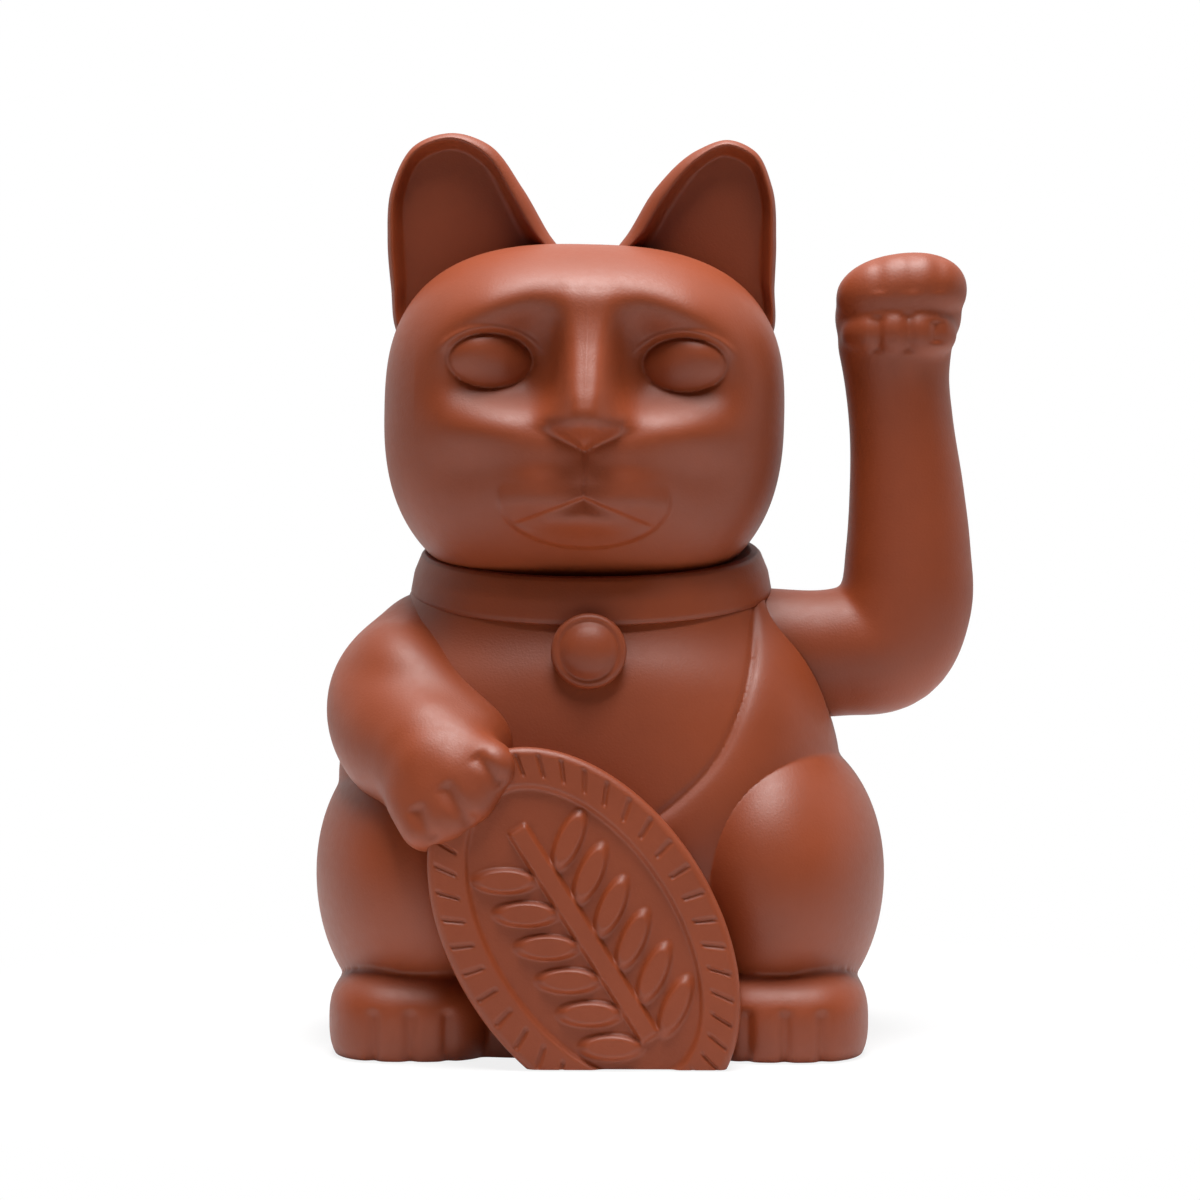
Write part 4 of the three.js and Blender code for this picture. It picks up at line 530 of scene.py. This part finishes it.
BELL_PROFILE = [(0.3, -3), (5.5, -3), (6.0, -0.8), (6.1, 0.2), (5.9, 0.8), (5.4, 1.15), (5.0, 1.1)]
BELL_PROFILE += [(4.75, 1.0), (4.5, 1.15), (4.0, 1.75), (3.2, 2.35), (2.2, 2.8), (1.1, 3.05), (0.3, 3.1)]
band = to_object("collar_band", collar())
keep_piece(band, "figure", 50)
bell = to_object("bell", turned(BELL_PROFILE, (0.3, -27.4, 65.0), (0, -1, 0.12)))
keep_piece(bell, "figure", 60)

# %% [markdown]
# ## The coin
#
# The oval coin has a raised border with short strokes across it and a sunken field. On the field lies a generic ear
# of rice, a stem with slanting grains. All of it is one height over the plane of the coin, so the coin is a grid of
# rings.

# %% The coin
COIN_HALF = (20.9, 32.2)
COIN_PLACE = (-0.26, -41.25, 21.3)
COIN_DEPTH = 15.0
COIN_LEAN, COIN_SLOPE = -32.8, -5
BORDER = 6.4
STROKES = 40
GRAIN_PAIRS, GRAIN_STEP, LOWEST_GRAIN = 6, 6.2, -17.4


def coin_height(p, q):
    """Millimetres above the field: border, strokes across it, stem and grains, rounded off at the outer edge."""
    a, b = COIN_HALF
    oval = np.sqrt((p / a) ** 2 + (q / b) ** 2) + 1e-9
    edge = (1 - oval) * oval / np.sqrt((p / a**2) ** 2 + (q / b**2) ** 2 + 1e-12)
    height = 0.9 * step(BORDER + 0.5, BORDER - 0.5, edge)
    around = np.arctan2(q / b, p / a)
    strokes = np.abs((around / FULL_TURN * STROKES) % 1 - 0.5)
    height -= 0.4 * step(0.36, 0.46, strokes) * step(0.8, 1.6, edge) * step(5.0, 4.2, edge)
    height += 1.0 * step(2.0, 1.1, np.abs(p)) * step(20, 19, np.abs(q))
    for number in range(GRAIN_PAIRS):
        for side in (-1, 1):
            dp, dq = side * p - 6.0, q - (number * GRAIN_STEP + LOWEST_GRAIN)
            u, v = 0.84 * dp + 0.54 * dq, -0.54 * dp + 0.84 * dq
            height += 1.1 * step(1.2, 0.72, np.sqrt((u / 4.9) ** 2 + (v / 1.9) ** 2))
    round_off = 1 - np.clip(edge / 1.4, 0, 1)
    return height - 1.4 * (1 - np.sqrt(1 - round_off**2))


def coin():
    """Rings of the oval from its middle to its rim, then straight back; leant to one side and sloped backward."""
    ring = np.concatenate([np.linspace(0.004, 0.93, 90), np.linspace(0.94, 1, 14)])[:, None]
    angle = np.linspace(0, FULL_TURN, 620, endpoint=False)[None]
    p, q = COIN_HALF[0] * ring * np.cos(angle), COIN_HALF[1] * ring * np.sin(angle)
    front = np.stack([p, -coin_height(p, q), q], -1)
    back = front[-1:] + np.array([0, COIN_DEPTH, 0.0])
    grid = np.concatenate([front, back])
    lean, slope = turning(COIN_LEAN, "Y"), turning(COIN_SLOPE, "X")
    return ring_skin(grid @ lean.T @ slope.T + np.array(COIN_PLACE))


COIN_LIFT = 0.05  # keeps its bottom off the plane of the body's
ABOVE_GROUND = box((-BEYOND, -BEYOND, COIN_LIFT), (BEYOND, BEYOND, ABOVE))
keep_piece(carved("coin", coin(), [], [ABOVE_GROUND]), "figure", 50)

# %% [markdown]
# ## The head
#
# The front half is a grid of rings spreading from the nose to the parting plane. Its reach towards the viewer is a
# broad rounded form plus the features: sockets under the brow, eyeballs with lids, the bridge and nose, muzzle,
# lips and chin.

# %% The head's features
HEAD_CENTRE = np.array([-0.9, PARTING_Y, 103.0])
HEAD_WIDE, HEAD_UP, HEAD_DOWN, HEAD_FRONT, HEAD_REAR = 33.3, 28.2, 31.5, 30.0, 29.0
HEAD_LEAN = turning(1.3, "Y")
FACE_X = 0.7


def bump(x, z, centre, size, power=1.0):
    """Bell over an oval: exp(-(r squared to the power)) with r measured in the oval's half sizes."""
    r = ((x - centre[0]) / size[0]) ** 2 + ((z - centre[1]) / size[1]) ** 2
    return np.exp(-(r**power))


def line_gap(x, z, line):
    """Distance in the face's plane from a line of straight stretches."""
    flat = np.stack([x, z], -1).reshape(-1, 2)
    return near_line(flat, line)[0].reshape(x.shape)


def eye_relief(x, z):
    """Brow ridge, socket, eyeball, the groove round it and the fold of the upper lid; x is counted outward."""
    brow = 19.4 - 0.0125 * x**2
    under = 0.5 - 0.5 * np.tanh((z - brow + 3.0) / 4.6)
    depth = through([(0, 0.6), (3.0, 1.5), (6.2, 5.2), (9, 7.4), (14, 7.0), (20, 4.4), (24, 1.6), (28, 0)], x)
    height = 2.8 * np.exp(-(((z - brow - 1.0) / 6.6) ** 2)) * step(30, 15, x)
    height -= depth * under * (0.5 + 0.5 * np.tanh((z - 1.4) / 3.6))
    oval = np.sqrt(((x - 15.7) / 6.7) ** 2 + ((z - 8.3) / 4.3) ** 2)
    height += 3.3 * np.clip(1 - oval**2, 0, 1) ** 0.9
    height -= 0.25 * np.exp(-(((oval - 1.03) / 0.07) ** 2))
    return height + 0.45 * np.exp(-(((oval - 1.24) / 0.1) ** 2)) * step(9.0, 11.6, z)


NOSE_RISE = [(-5.6, 2.2), (-4.6, 3.0), (-3.8, 3.9), (-3.0, 5.3), (-2.2, 6.7), (-1.2, 7.7), (0.2, 8.2)]
NOSE_RISE += [(2, 7.9), (5, 6.5), (8.5, 4.4), (12, 2.3), (16, 0.5), (20, 0)]
NOSE_WIDE = [(-5.7, 0.3), (-5.0, 1.0), (-4, 2.4), (-3, 3.8), (-2, 4.7), (-1, 5.1), (1, 5.1)]
NOSE_WIDE += [(3, 4.8), (5, 4.5), (8, 4.3), (12, 4.3), (15, 4.8), (18, 6.2), (21, 8)]


def nose_relief(x, z):
    """Ridge from the brow to the tip: a rise along Z times a flat-topped profile across the nose's width."""
    wide = through(NOSE_WIDE, z)
    sharp = 3.8 - 1.4 * step(6, 0, z)
    across = np.exp(-((np.abs(x) / wide) ** sharp))
    height = 0.92 * through(NOSE_RISE, z) * across * step(-5.9, -5.0, z)
    edge = line_gap(np.abs(x), z, [(6.0, 2.0), (6.2, -1.2), (5.2, -2.8), (2.6, -4.6), (0, -5.8)])
    return height - 0.2 * np.exp(-((edge / 0.8) ** 2)) * step(0.5, -1.5, z)


def mouth_relief(x, z):
    """Muzzle and its two pads, the groove under the nose, the overhanging upper lip and the crescent of the chin."""
    wide = np.abs(x)
    height = 2.2 * bump(x, z, (0, -12.0), (13.5, 8), 1.4)
    height += 0.9 * bump(wide, z, (7.6, -12.4), (6.6, 3.4), 1.1)
    height -= 0.5 * bump(wide, z, (5.4, -8.4), (4.6, 2.4)) + 0.9 * bump(wide, z, (19, -9), (6, 4.2))
    philtrum = line_gap(x, z, [(0, -5.6), (0, -13.0)])
    height -= 0.3 * np.exp(-((philtrum / 0.45) ** 2)) + 0.3 * bump(x, z, (0, -6.8), (1.8, 1.6))
    chin = np.sqrt((x / 13.9) ** 2 + ((z + 13.7) / 7.9) ** 2)
    height += 0.9 * step(1.04, 0.96, chin) * step(-11.0, -15, z)
    drop = -13.3 - 0.4 * wide - z
    under = step(-0.35, 0.35, drop) * np.exp(-((np.clip(drop, 0, 9) / 2.2) ** 2)) * step(1.0, 0.85, chin)
    height -= (0.4 + 0.6 * np.exp(-((x / 4.0) ** 2))) * under
    return height + 0.8 * bump(x, z, (0, -17.2), (6.8, 1.9), 1.2)


def face_relief(x, z):
    """All features and the cheeks together, in mm towards the viewer."""
    x = x - FACE_X
    height = eye_relief(np.abs(x), z) + nose_relief(x, z) + mouth_relief(x, z)
    return height + 2.0 * bump(np.abs(x), z, (14.5, -2.6), (11.0, 6.0))


# %% [markdown]
# ## The head's two halves
#
# Seen from the front the head is a rounded oblong. Front and back are each a grid of rings that shrink towards a
# middle: on the face that is the nose, so that the rings lie closest where the features are finest.

# %% The head's two halves
def head_rim(angle):
    """Radius of the head's outline on the parting plane: a rounded oblong, squarer above than below."""
    power = 2.5 + 0.2 * step(-0.3, 0.3, np.sin(angle))
    tall = np.where(np.sin(angle) > 0, HEAD_UP, HEAD_DOWN)
    return (np.abs(np.cos(angle) / HEAD_WIDE) ** power + np.abs(np.sin(angle) / tall) ** power) ** (-1 / power)


def head_lip():
    """Plate in the parting gap, half a millimetre inside the outline."""
    angle = np.linspace(0, FULL_TURN, 240, endpoint=False)
    radius = head_rim(angle) - 0.5
    rings = [(0.01, -LIP), (1, -LIP), (1, LIP), (0.01, LIP)]
    grid = np.stack([[s * radius * np.cos(angle), 0 * angle + y, s * radius * np.sin(angle)] for s, y in rings])
    return ring_skin(np.moveaxis(grid, 1, -1) @ HEAD_LEAN.T + HEAD_CENTRE)


def head_half(front):
    """Rings from the middle of the face, or of the back, to the rim; reach and features fall to nothing there."""
    angle = np.linspace(0, FULL_TURN, 460 if front else 240, endpoint=False)[None]
    share = np.sin(np.linspace(0.004, np.pi / 2, 170 if front else 70))[:, None]
    rim = head_rim(angle)
    pole = np.array([FACE_X, -3.0]) if front else np.zeros(2)
    x = pole[0] + share * (rim * np.cos(angle) - pole[0])
    z = pole[1] + share * (rim * np.sin(angle) - pole[1])
    power = 2.5 + 0.2 * step(-9, 9, z)
    out = np.abs(x / HEAD_WIDE) ** power + np.abs(z / np.where(z > 0, HEAD_UP, HEAD_DOWN)) ** power
    fall = np.clip(1 - out, 0, 1) ** (1 / 2.7)
    fall[-1] = 0
    if front:
        y = -PARTING_GAP / 2 - HEAD_FRONT * fall - face_relief(x, z) * step(0, 0.5, fall)
    else:
        y = PARTING_GAP / 2 + HEAD_REAR * fall
    points = np.stack([x, y, z], -1) @ HEAD_LEAN.T
    return ring_skin(points + HEAD_CENTRE)


for name in ("front", "rear"):
    piece = to_object(f"moulded_head_{name}", head_half(name == "front"))
    keep_piece(piece, "figure", 60, [f"head_{name}_shell"])
keep_piece(to_object("head_lip", head_lip()), "figure")

# %% [markdown]
# ## The ears
#
# Each ear stands behind the brow as a thick leaf: a rounded rim, a dished front, a plain back and the parting line
# along the rim. The outline is one smooth closed curve, and the rings run from the middle of the dish over the rim
# to the back.

# %% The ears
LEFT_EAR = [(-32.2, 116), (-33.4, 124), (-34.0, 132), (-33.2, 141), (-29.2, 148.0), (-22.8, 150.0), (-17.0, 148.2)]
LEFT_EAR += [(-11.1, 140.9), (-6.7, 133.3), (-3.4, 128), (-8, 118), (-26, 110)]
RIGHT_EAR = [(30.6, 116), (31.0, 124), (31.3, 132), (30.5, 141), (27.6, 146.9), (23.1, 148.8), (18.0, 147.2)]
RIGHT_EAR += [(10.9, 140.9), (6.2, 133.3), (2.8, 128), (8, 118), (25, 110)]
EAR_HALF_THICK = 5.0
EAR_DISH = 4.6
EAR_TAPER = 0.3


def ear(outline):
    """Rings shrink from the outline to its middle: front with a dish inside the rim, then the rim, then the back."""
    closed = np.array(outline[-3:] + outline + outline[:3], float)
    path, along, place = path_through(np.column_stack([closed, np.zeros(len(closed))]), 900)
    loop = path[(along >= place[3]) & (along < place[-3])][:, :2]
    middle = np.array([loop[:, 0].mean(), 130.0])
    spread = loop - middle
    length = np.linalg.norm(spread, axis=1)
    over_rim = np.sin(np.linspace(np.arcsin(0.79), np.pi / 2, 40))
    share = np.concatenate([np.linspace(0.01, 0.78, 24), over_rim])[:, None]
    gap = (1 - share) * length
    thick = EAR_HALF_THICK * np.sqrt(np.clip(1 - (1 - np.clip(gap / 2.2, 0, 1)) ** 2, 0, 1))
    inner = step(-4, 8, -np.sign(middle[0]) * spread[:, 0])
    rim = 0.9 + 1.3 * inner
    dish = EAR_DISH * step(rim, rim + 2.2, gap)
    seam = 0.3 * np.exp(-((gap / 0.18) ** 2))
    taper = 1 - EAR_TAPER * step(118, 150, middle[1] + share * spread[:, 1])
    front, back = (dish - thick) * taper, 0.9 * thick * taper
    reach = np.concatenate([share, share[::-1][1:]])
    y = np.concatenate([front, back[::-1][1:]])
    sunk = np.concatenate([seam, seam[::-1][1:]])
    flat = middle + (reach - sunk / length)[..., None] * spread
    return ring_skin(np.stack([flat[..., 0], PARTING_Y + y, flat[..., 1]], -1))


for name, outline in (("left", LEFT_EAR), ("right", RIGHT_EAR)):
    keep_piece(to_object(f"ear_{name}", ear(outline)), "figure", 60)

# %% [markdown]
# ## The raised arm
#
# The arm comes out of the shoulder's pocket, bends up at the elbow, narrows at the wrist and ends in a loosely
# closed paw: a roll of four knuckles on top and four fingers folded down in front. It is melted from a limb and
# three eggs, and shallow grooves part the knuckles and the fingers.

# %% The raised arm
RAISED = [(26, 3, 63.3), (42, 3, 63.2), (49.6, 3, 64.8), (52.7, 3, 71.4), (53.2, 3, 80), (52.9, 3, 90)]
RAISED += [(51.9, 3, 102), (51.2, 3, 109), (50.9, 2.8, 114.6)]
RAISED_RADII = [10.75, 10.75, 11.3, 11.2, 10.5, 9.6, 8.7, 8.8, 9.6]
KNUCKLES = (47.6, 53.2, 57.8)
PAD_GAPS = ((47.4, 119.6, 112.6), (52.6, 120.2, 112.6), (57.4, 118.6, 114.4))
TOP_TURN = turning(-8, "Y") @ turning(-22, "X")
arm_forms = [limb(RAISED, RAISED_RADII), egg((51.4, 2.6, 119.4), (10.6, 8.2, 8.2), 2.2, turning(-8, "Y"))]
arm_forms += [egg((51.8, 0.2, 122.8), (11.0, 7.8, 6.5), 2.2, TOP_TURN)]
arm_forms += [egg((51.3, -0.4, 116.4), (9.7, 7.6, 5.4), 2.2)]
arm_skin = melted(arm_forms, 0.4, 36)
grooves = [([(x, 130.0), (x, 126.0), (x, 122.6)], 1.3, 0.25) for x in KNUCKLES]
grooves += [([(x, top), (x, low)], 1.1, 0.65) for x, top, low in PAD_GAPS]
arm_skin = pressed(arm_skin, grooves, -2)
END_GAP = 0.3
STUB = box((POCKET_X + END_GAP, -BEYOND, 0), (BEYOND, BEYOND, ABOVE))
for name, half in (("front", FRONT), ("rear", REAR)):
    piece = carved(f"moulded_arm_{name}", arm_skin, [], [half, STUB])
    keep_piece(piece, "waving_arm", nodes=[f"arm_{name}_shell"])
keep_piece(carved("arm_lip", inset(arm_skin), [], [LIP_SLAB, STUB]), "waving_arm")

# %% [markdown]
# ## Shader arithmetic
#
# Materials are sums and products of noise. A small class wraps one output of a node, so that a formula can be
# written as a formula; any other node comes from one method that takes its type, its settings and what goes into
# its sockets.

# %% Shader arithmetic
class Wire:
    """One output of a node. Arithmetic on wires and numbers adds Math nodes to the same material."""

    def __init__(self, tree, socket):
        self.tree, self.socket = tree, socket

    def node(self, kind, settings=None, sockets=None, output=0):
        """Adds a node: settings first, then socket values or links. A colour ramp takes its stops as a setting."""
        made = self.tree.nodes.new(kind)
        for key, value in (settings or {}).items():
            if key == "stops":
                for stop, (place, shade) in zip((made.color_ramp.elements[0], made.color_ramp.elements[1]), value):
                    stop.position = place
                    stop.color = (*shade, 1)
            else:
                setattr(made, key, value)
        for key, value in (sockets or {}).items():
            if isinstance(value, Wire):
                self.tree.links.new(value.socket, made.inputs[key])
            else:
                made.inputs[key].default_value = value
        return Wire(self.tree, made.outputs[output])

    def math(self, operation, first, second):
        return self.node("ShaderNodeMath", {"operation": operation}, {0: first, 1: second})

    def __add__(self, other):
        return self.math("ADD", self, other)

    def __mul__(self, other):
        return self.math("MULTIPLY", self, other)

    def __sub__(self, other):
        return self.math("SUBTRACT", self, other)

    def __rsub__(self, other):
        return self.math("SUBTRACT", other, self)

    __radd__ = __add__
    __rmul__ = __mul__


def new_material(name, **constants):
    """A material with constant sockets set on its shader; returns it, the object coordinates and the shader."""
    material = bpy.data.materials.new(name)
    material.use_nodes = True
    tree = material.node_tree
    shader = tree.nodes["Principled BSDF"]
    for key, value in constants.items():
        shader.inputs[key.replace("_", " ")].default_value = value
    place = Wire(tree, tree.nodes.new("ShaderNodeTexCoord").outputs["Object"])
    return material, place, shader


def feed(shader, name, wire):
    """Links a wire to a socket of the shader."""
    wire.tree.links.new(wire.socket, shader.inputs[name])


def noise(place, scale, detail=2.0):
    """Noise of a size in the object's own coordinates, from 0 to 1."""
    return place.node("ShaderNodeTexNoise", {}, {"Vector": place, "Scale": scale, "Detail": detail})


def mix(factor, dark, light):
    """Colour between two shades."""
    return factor.node("ShaderNodeValToRGB", {"stops": [(0.3, dark), (0.7, light)]}, {"Fac": factor})


def roughened(place, shader, scale, depth):
    """Fine bumps of a height in metres."""
    bump = place.node("ShaderNodeBump", {}, {"Strength": 1.0, "Distance": depth, "Height": noise(place, scale)})
    feed(shader, "Normal", bump)


# %% [markdown]
# ## Satin terracotta
#
# The plastic is one deep brown-orange all through, with a sprayed satin skin: tiny dimples spread each highlight
# into a broad pinkish sheen. Faint clouds in the colour and the roughness keep large curves from looking computed.

# %% Satin terracotta
def terracotta():
    """Brown-orange with soft clouds a few centimetres across, fine grain and a satin roughness."""
    material, place, shader = new_material("satin terracotta", Specular_IOR_Level=0.45)
    clouds = noise(place, 45, 3.0)
    feed(shader, "Base Color", mix(clouds, (0.205, 0.034, 0.006), (0.240, 0.042, 0.009)))
    feed(shader, "Roughness", noise(place, 700, 2.0) * 0.12 + 0.46)
    roughened(place, shader, 2600, 0.00003)
    return material


cat_plastic = terracotta()
for piece in PIECES.values():
    piece.data.materials.clear()
    piece.data.materials.append(cat_plastic)
print("terracotta on", len(PIECES), "pieces")

# %% [markdown]
# ## Finishes of the works inside
#
# The battery door opens, so the cell, its contacts and the screws can be seen, and the rest of the works ride
# behind them. Each finish is the real one at its own scale: brushed plating, a winding with a ridge for every turn
# of wire, whose colour also carries painted shade in the grooves between turns, gritty ferrite, a board with paper
# fibres, a cell in a two-coloured sleeve and soft wire insulation.

# %% Finishes of the works inside
def streaked(place, stretch):
    """The object's coordinates squeezed along some axes, so that noise on them draws out into streaks."""
    return place.node("ShaderNodeVectorMath", {"operation": "MULTIPLY"}, {0: place, 1: stretch})


def plated_steel():
    """Grey metal with fine streaks in its gloss and a faint bloom."""
    material, place, shader = new_material("plated steel", Metallic=1.0)
    feed(shader, "Base Color", mix(noise(place, 300), (0.47, 0.475, 0.48), (0.62, 0.625, 0.63)))
    feed(shader, "Roughness", noise(streaked(place, (1, 1, 8)), 1500, 3.0) * 0.25 + 0.18)
    roughened(place, shader, 3000, 0.00001)
    return material


def wound_copper():
    """Enamelled wire: each turn, a quarter of a millimetre high, is a ridge, with painted shade darkening the grooves
    between turns and a paler top.
    """
    material, place, shader = new_material("wound copper", Metallic=0.9)
    settings = {"wave_type": "BANDS", "bands_direction": "Z", "wave_profile": "SIN"}
    ridges_and_painted_shade = place.node("ShaderNodeTexWave", settings, {"Vector": place, "Scale": 1250.0, "Distortion": 0.4}, 1)
    # painted shade: the wire's colour is darker in the grooves between turns and paler on their ridges
    feed(shader, "Base Color", mix(ridges_and_painted_shade, (0.30, 0.10, 0.035), (0.66, 0.29, 0.12)))
    feed(shader, "Roughness", 0.45 - ridges_and_painted_shade * 0.2)
    ridge = place.node("ShaderNodeBump", {}, {"Strength": 1.0, "Distance": 0.0001, "Height": ridges_and_painted_shade})
    feed(shader, "Normal", ridge)
    return material


def speckled(name, dark, light, scale, rough, grain):
    """Two shades in specks of a size, with a dull roughness and a grain of a depth in metres."""
    material, place, shader = new_material(name)
    feed(shader, "Base Color", mix(noise(place, scale, 4.0), dark, light))
    feed(shader, "Roughness", noise(place, scale * 2) * 0.2 + rough)
    roughened(place, shader, scale * 2, grain)
    return material


def board_laminate():
    """Pressed brown paper: fibres drawn out along the board, under a thin shine."""
    material, place, shader = new_material("board laminate", Coat_Weight=0.3)
    fibres = noise(streaked(place, (1, 7, 7)), 500, 5.0)
    feed(shader, "Base Color", mix(fibres, (0.27, 0.16, 0.045), (0.42, 0.29, 0.10)))
    feed(shader, "Roughness", 0.6 - fibres * 0.2)
    return material


CELL_BAND_Y = 0.018


def cell_sleeve():
    """Shrunk sleeve: slate over most of the cell, bronze towards its button end, with a fine metal flake."""
    material, place, shader = new_material("cell sleeve", Metallic=0.35)
    along = place.node("ShaderNodeSeparateXYZ", {}, {"Vector": place}, "Y")
    bronze = place.math("GREATER_THAN", along, CELL_BAND_Y)
    flake = noise(place, 4000)
    slate = mix(flake, (0.055, 0.070, 0.085), (0.085, 0.105, 0.125))
    warm = mix(flake, (0.33, 0.17, 0.07), (0.43, 0.24, 0.10))
    both = place.node("ShaderNodeMix", {"data_type": "RGBA"}, {0: bronze, 6: slate, 7: warm}, 2)
    feed(shader, "Base Color", both)
    feed(shader, "Roughness", 0.24 + noise(place, 200) * 0.12)
    return material


FINISHES = {
    "terracotta_plastic": cat_plastic,
    "steel": plated_steel(),
    "copper_wire": wound_copper(),
    "ferrite": speckled("ferrite", (0.035, 0.035, 0.04), (0.09, 0.09, 0.095), 1800, 0.5, 0.00003),
    "dark_plastic": speckled("dark plastic", (0.02, 0.02, 0.021), (0.036, 0.035, 0.034), 900, 0.38, 0.00002),
    "laminate": board_laminate(),
    "cell_jacket": cell_sleeve(),
    "black_wire": speckled("black insulation", (0.010, 0.010, 0.011), (0.02, 0.02, 0.02), 600, 0.35, 0.00001),
    "red_wire": speckled("red insulation", (0.31, 0.018, 0.014), (0.40, 0.035, 0.025), 600, 0.35, 0.00001),
}
for part in frame["record"]["subparts"]:
    slots = frame["nodes"][part["node"]].data.materials
    slots.clear()
    slots.append(FINISHES[part["material_slot"]])

# %% [markdown]
# ## The lamps
#
# The figure was photographed on white under a big soft lamp above it, so tops of forms are pale and hollows go deep
# red-brown. Two weak lamps lift the front and the side. No lamp is small, because a small one would make hard
# edges.

# %% The lamps
scene = bpy.context.scene
scene.view_settings.view_transform = "Standard"


def lamp(name, place, aim, wide, long, power):
    """Soft lamp, wide by long in metres, that looks at a point."""
    light = bpy.data.lights.new(name, "AREA")
    light.shape = "RECTANGLE"
    light.size, light.size_y = wide, long
    light.energy = power
    thing = bpy.data.objects.new(name, light)
    thing.location = place
    thing.rotation_euler = (Vector(aim) - Vector(place)).to_track_quat("-Z", "Y").to_euler()
    scene.collection.objects.link(thing)


lamp("key", (0.02, -0.08, 0.92), (0, 0.0, 0.08), 0.45, 0.55, 17.0)
lamp("fill", (-0.4, -0.9, 0.2), (0, 0, 0.07), 0.6, 0.6, 0.15)
lamp("side", (0.8, 0.1, 0.3), (0, 0, 0.08), 0.4, 0.4, 0.3)

# %% [markdown]
# ## White all round
#
# The photo's ground is plain white, but a white room would wash the shading out. So the room and the floor are
# white only to the rays that show them, and weak to those that light the cat. Near the cat the floor keeps some of
# its shadow.

# %% White all round
RAYS = ("Camera", "Transmission", "Glossy")


def seen(tree, mirrored):
    """1 for rays that show the background: from the camera, through glass, or mirrored where mirrored is 1."""
    path = tree.nodes.new("ShaderNodeLightPath")
    camera, through_glass, glossy = [Wire(tree, path.outputs[f"Is {kind} Ray"]) for kind in RAYS]
    return camera.math("MAXIMUM", camera.math("MAXIMUM", camera, through_glass), glossy * mirrored)


def ramp(value, start, end, low, high):
    """Smooth change from low at start to high at end."""
    sockets = {"Value": value, 1: start, 2: end, 3: low, 4: high}
    return value.node("ShaderNodeMapRange", {"interpolation_type": "SMOOTHSTEP"}, sockets)


world = bpy.data.worlds.new("white room")
scene.world = world
world.use_nodes = True
sky = world.node_tree.nodes["Background"]
ways = Wire(world.node_tree, world.node_tree.nodes.new("ShaderNodeTexCoord").outputs["Generated"])
backdrop = ramp(ways.node("ShaderNodeSeparateXYZ", {}, {"Vector": ways}, "Y"), -0.1, 0.4, 0.1, 1.0)
world.node_tree.links.new((seen(world.node_tree, backdrop) * 0.98 + 0.02).socket, sky.inputs["Strength"])
sky.inputs["Color"].default_value = (1, 1, 1, 1)

FLOOR_HALF = 3
FLOOR_DROP = 0.0002
floor_mesh = bpy.data.meshes.new("floor")
half = FLOOR_HALF
floor_mesh.from_pydata([(-half, -half, 0), (half, -half, 0), (half, half, 0), (-half, half, 0)], [], [(0, 1, 2, 3)])
floor = bpy.data.objects.new("floor", floor_mesh)
floor.location.z = -FLOOR_DROP
scene.collection.objects.link(floor)
paper, place, shader = new_material("white paper", Roughness=0.9)
glow = place.node("ShaderNodeEmission", {}, {"Color": (1, 1, 1, 1), "Strength": 1.0})
away = place.node("ShaderNodeVectorMath", {"operation": "LENGTH"}, {0: place}, "Value")
feed(shader, "Base Color", ramp(away, 0.25, 0.6, 0.9, 0.3))
share = seen(paper.node_tree, 0.4) * ramp(away, 0.06, 0.14, 0.85, 1.0)
blend = place.node("ShaderNodeMixShader", {}, {0: share, 1: Wire(paper.node_tree, shader.outputs[0]), 2: glow})
paper.node_tree.links.new(blend.socket, paper.node_tree.nodes["Material Output"].inputs["Surface"])
floor_mesh.materials.append(paper)
print("floor", 2 * FLOOR_HALF, "m wide")

# %% [markdown]
# ## The camera
#
# The photo was taken from the front with a long lens, a little above the middle of the figure and looking slightly
# down.

# %% The camera
CAMERA_AWAY, CAMERA_UP = 0.7, 0.104
camera_data = bpy.data.cameras.new("camera")
camera = bpy.data.objects.new("camera", camera_data)
camera_data.sensor_width = 36
camera_data.lens = 126
camera_data.clip_start = 0.01
azimuth = math.radians(1.0)
camera.location = (CAMERA_AWAY * math.sin(azimuth), -CAMERA_AWAY * math.cos(azimuth), CAMERA_UP)
aim = Vector((0.0017, 0, 0.072))
camera.rotation_euler = (aim - camera.location).to_track_quat("-Z", "Y").to_euler()
scene.collection.objects.link(camera)
scene.camera = camera
print("camera", CAMERA_AWAY, "m away, lens", camera_data.lens, "mm")
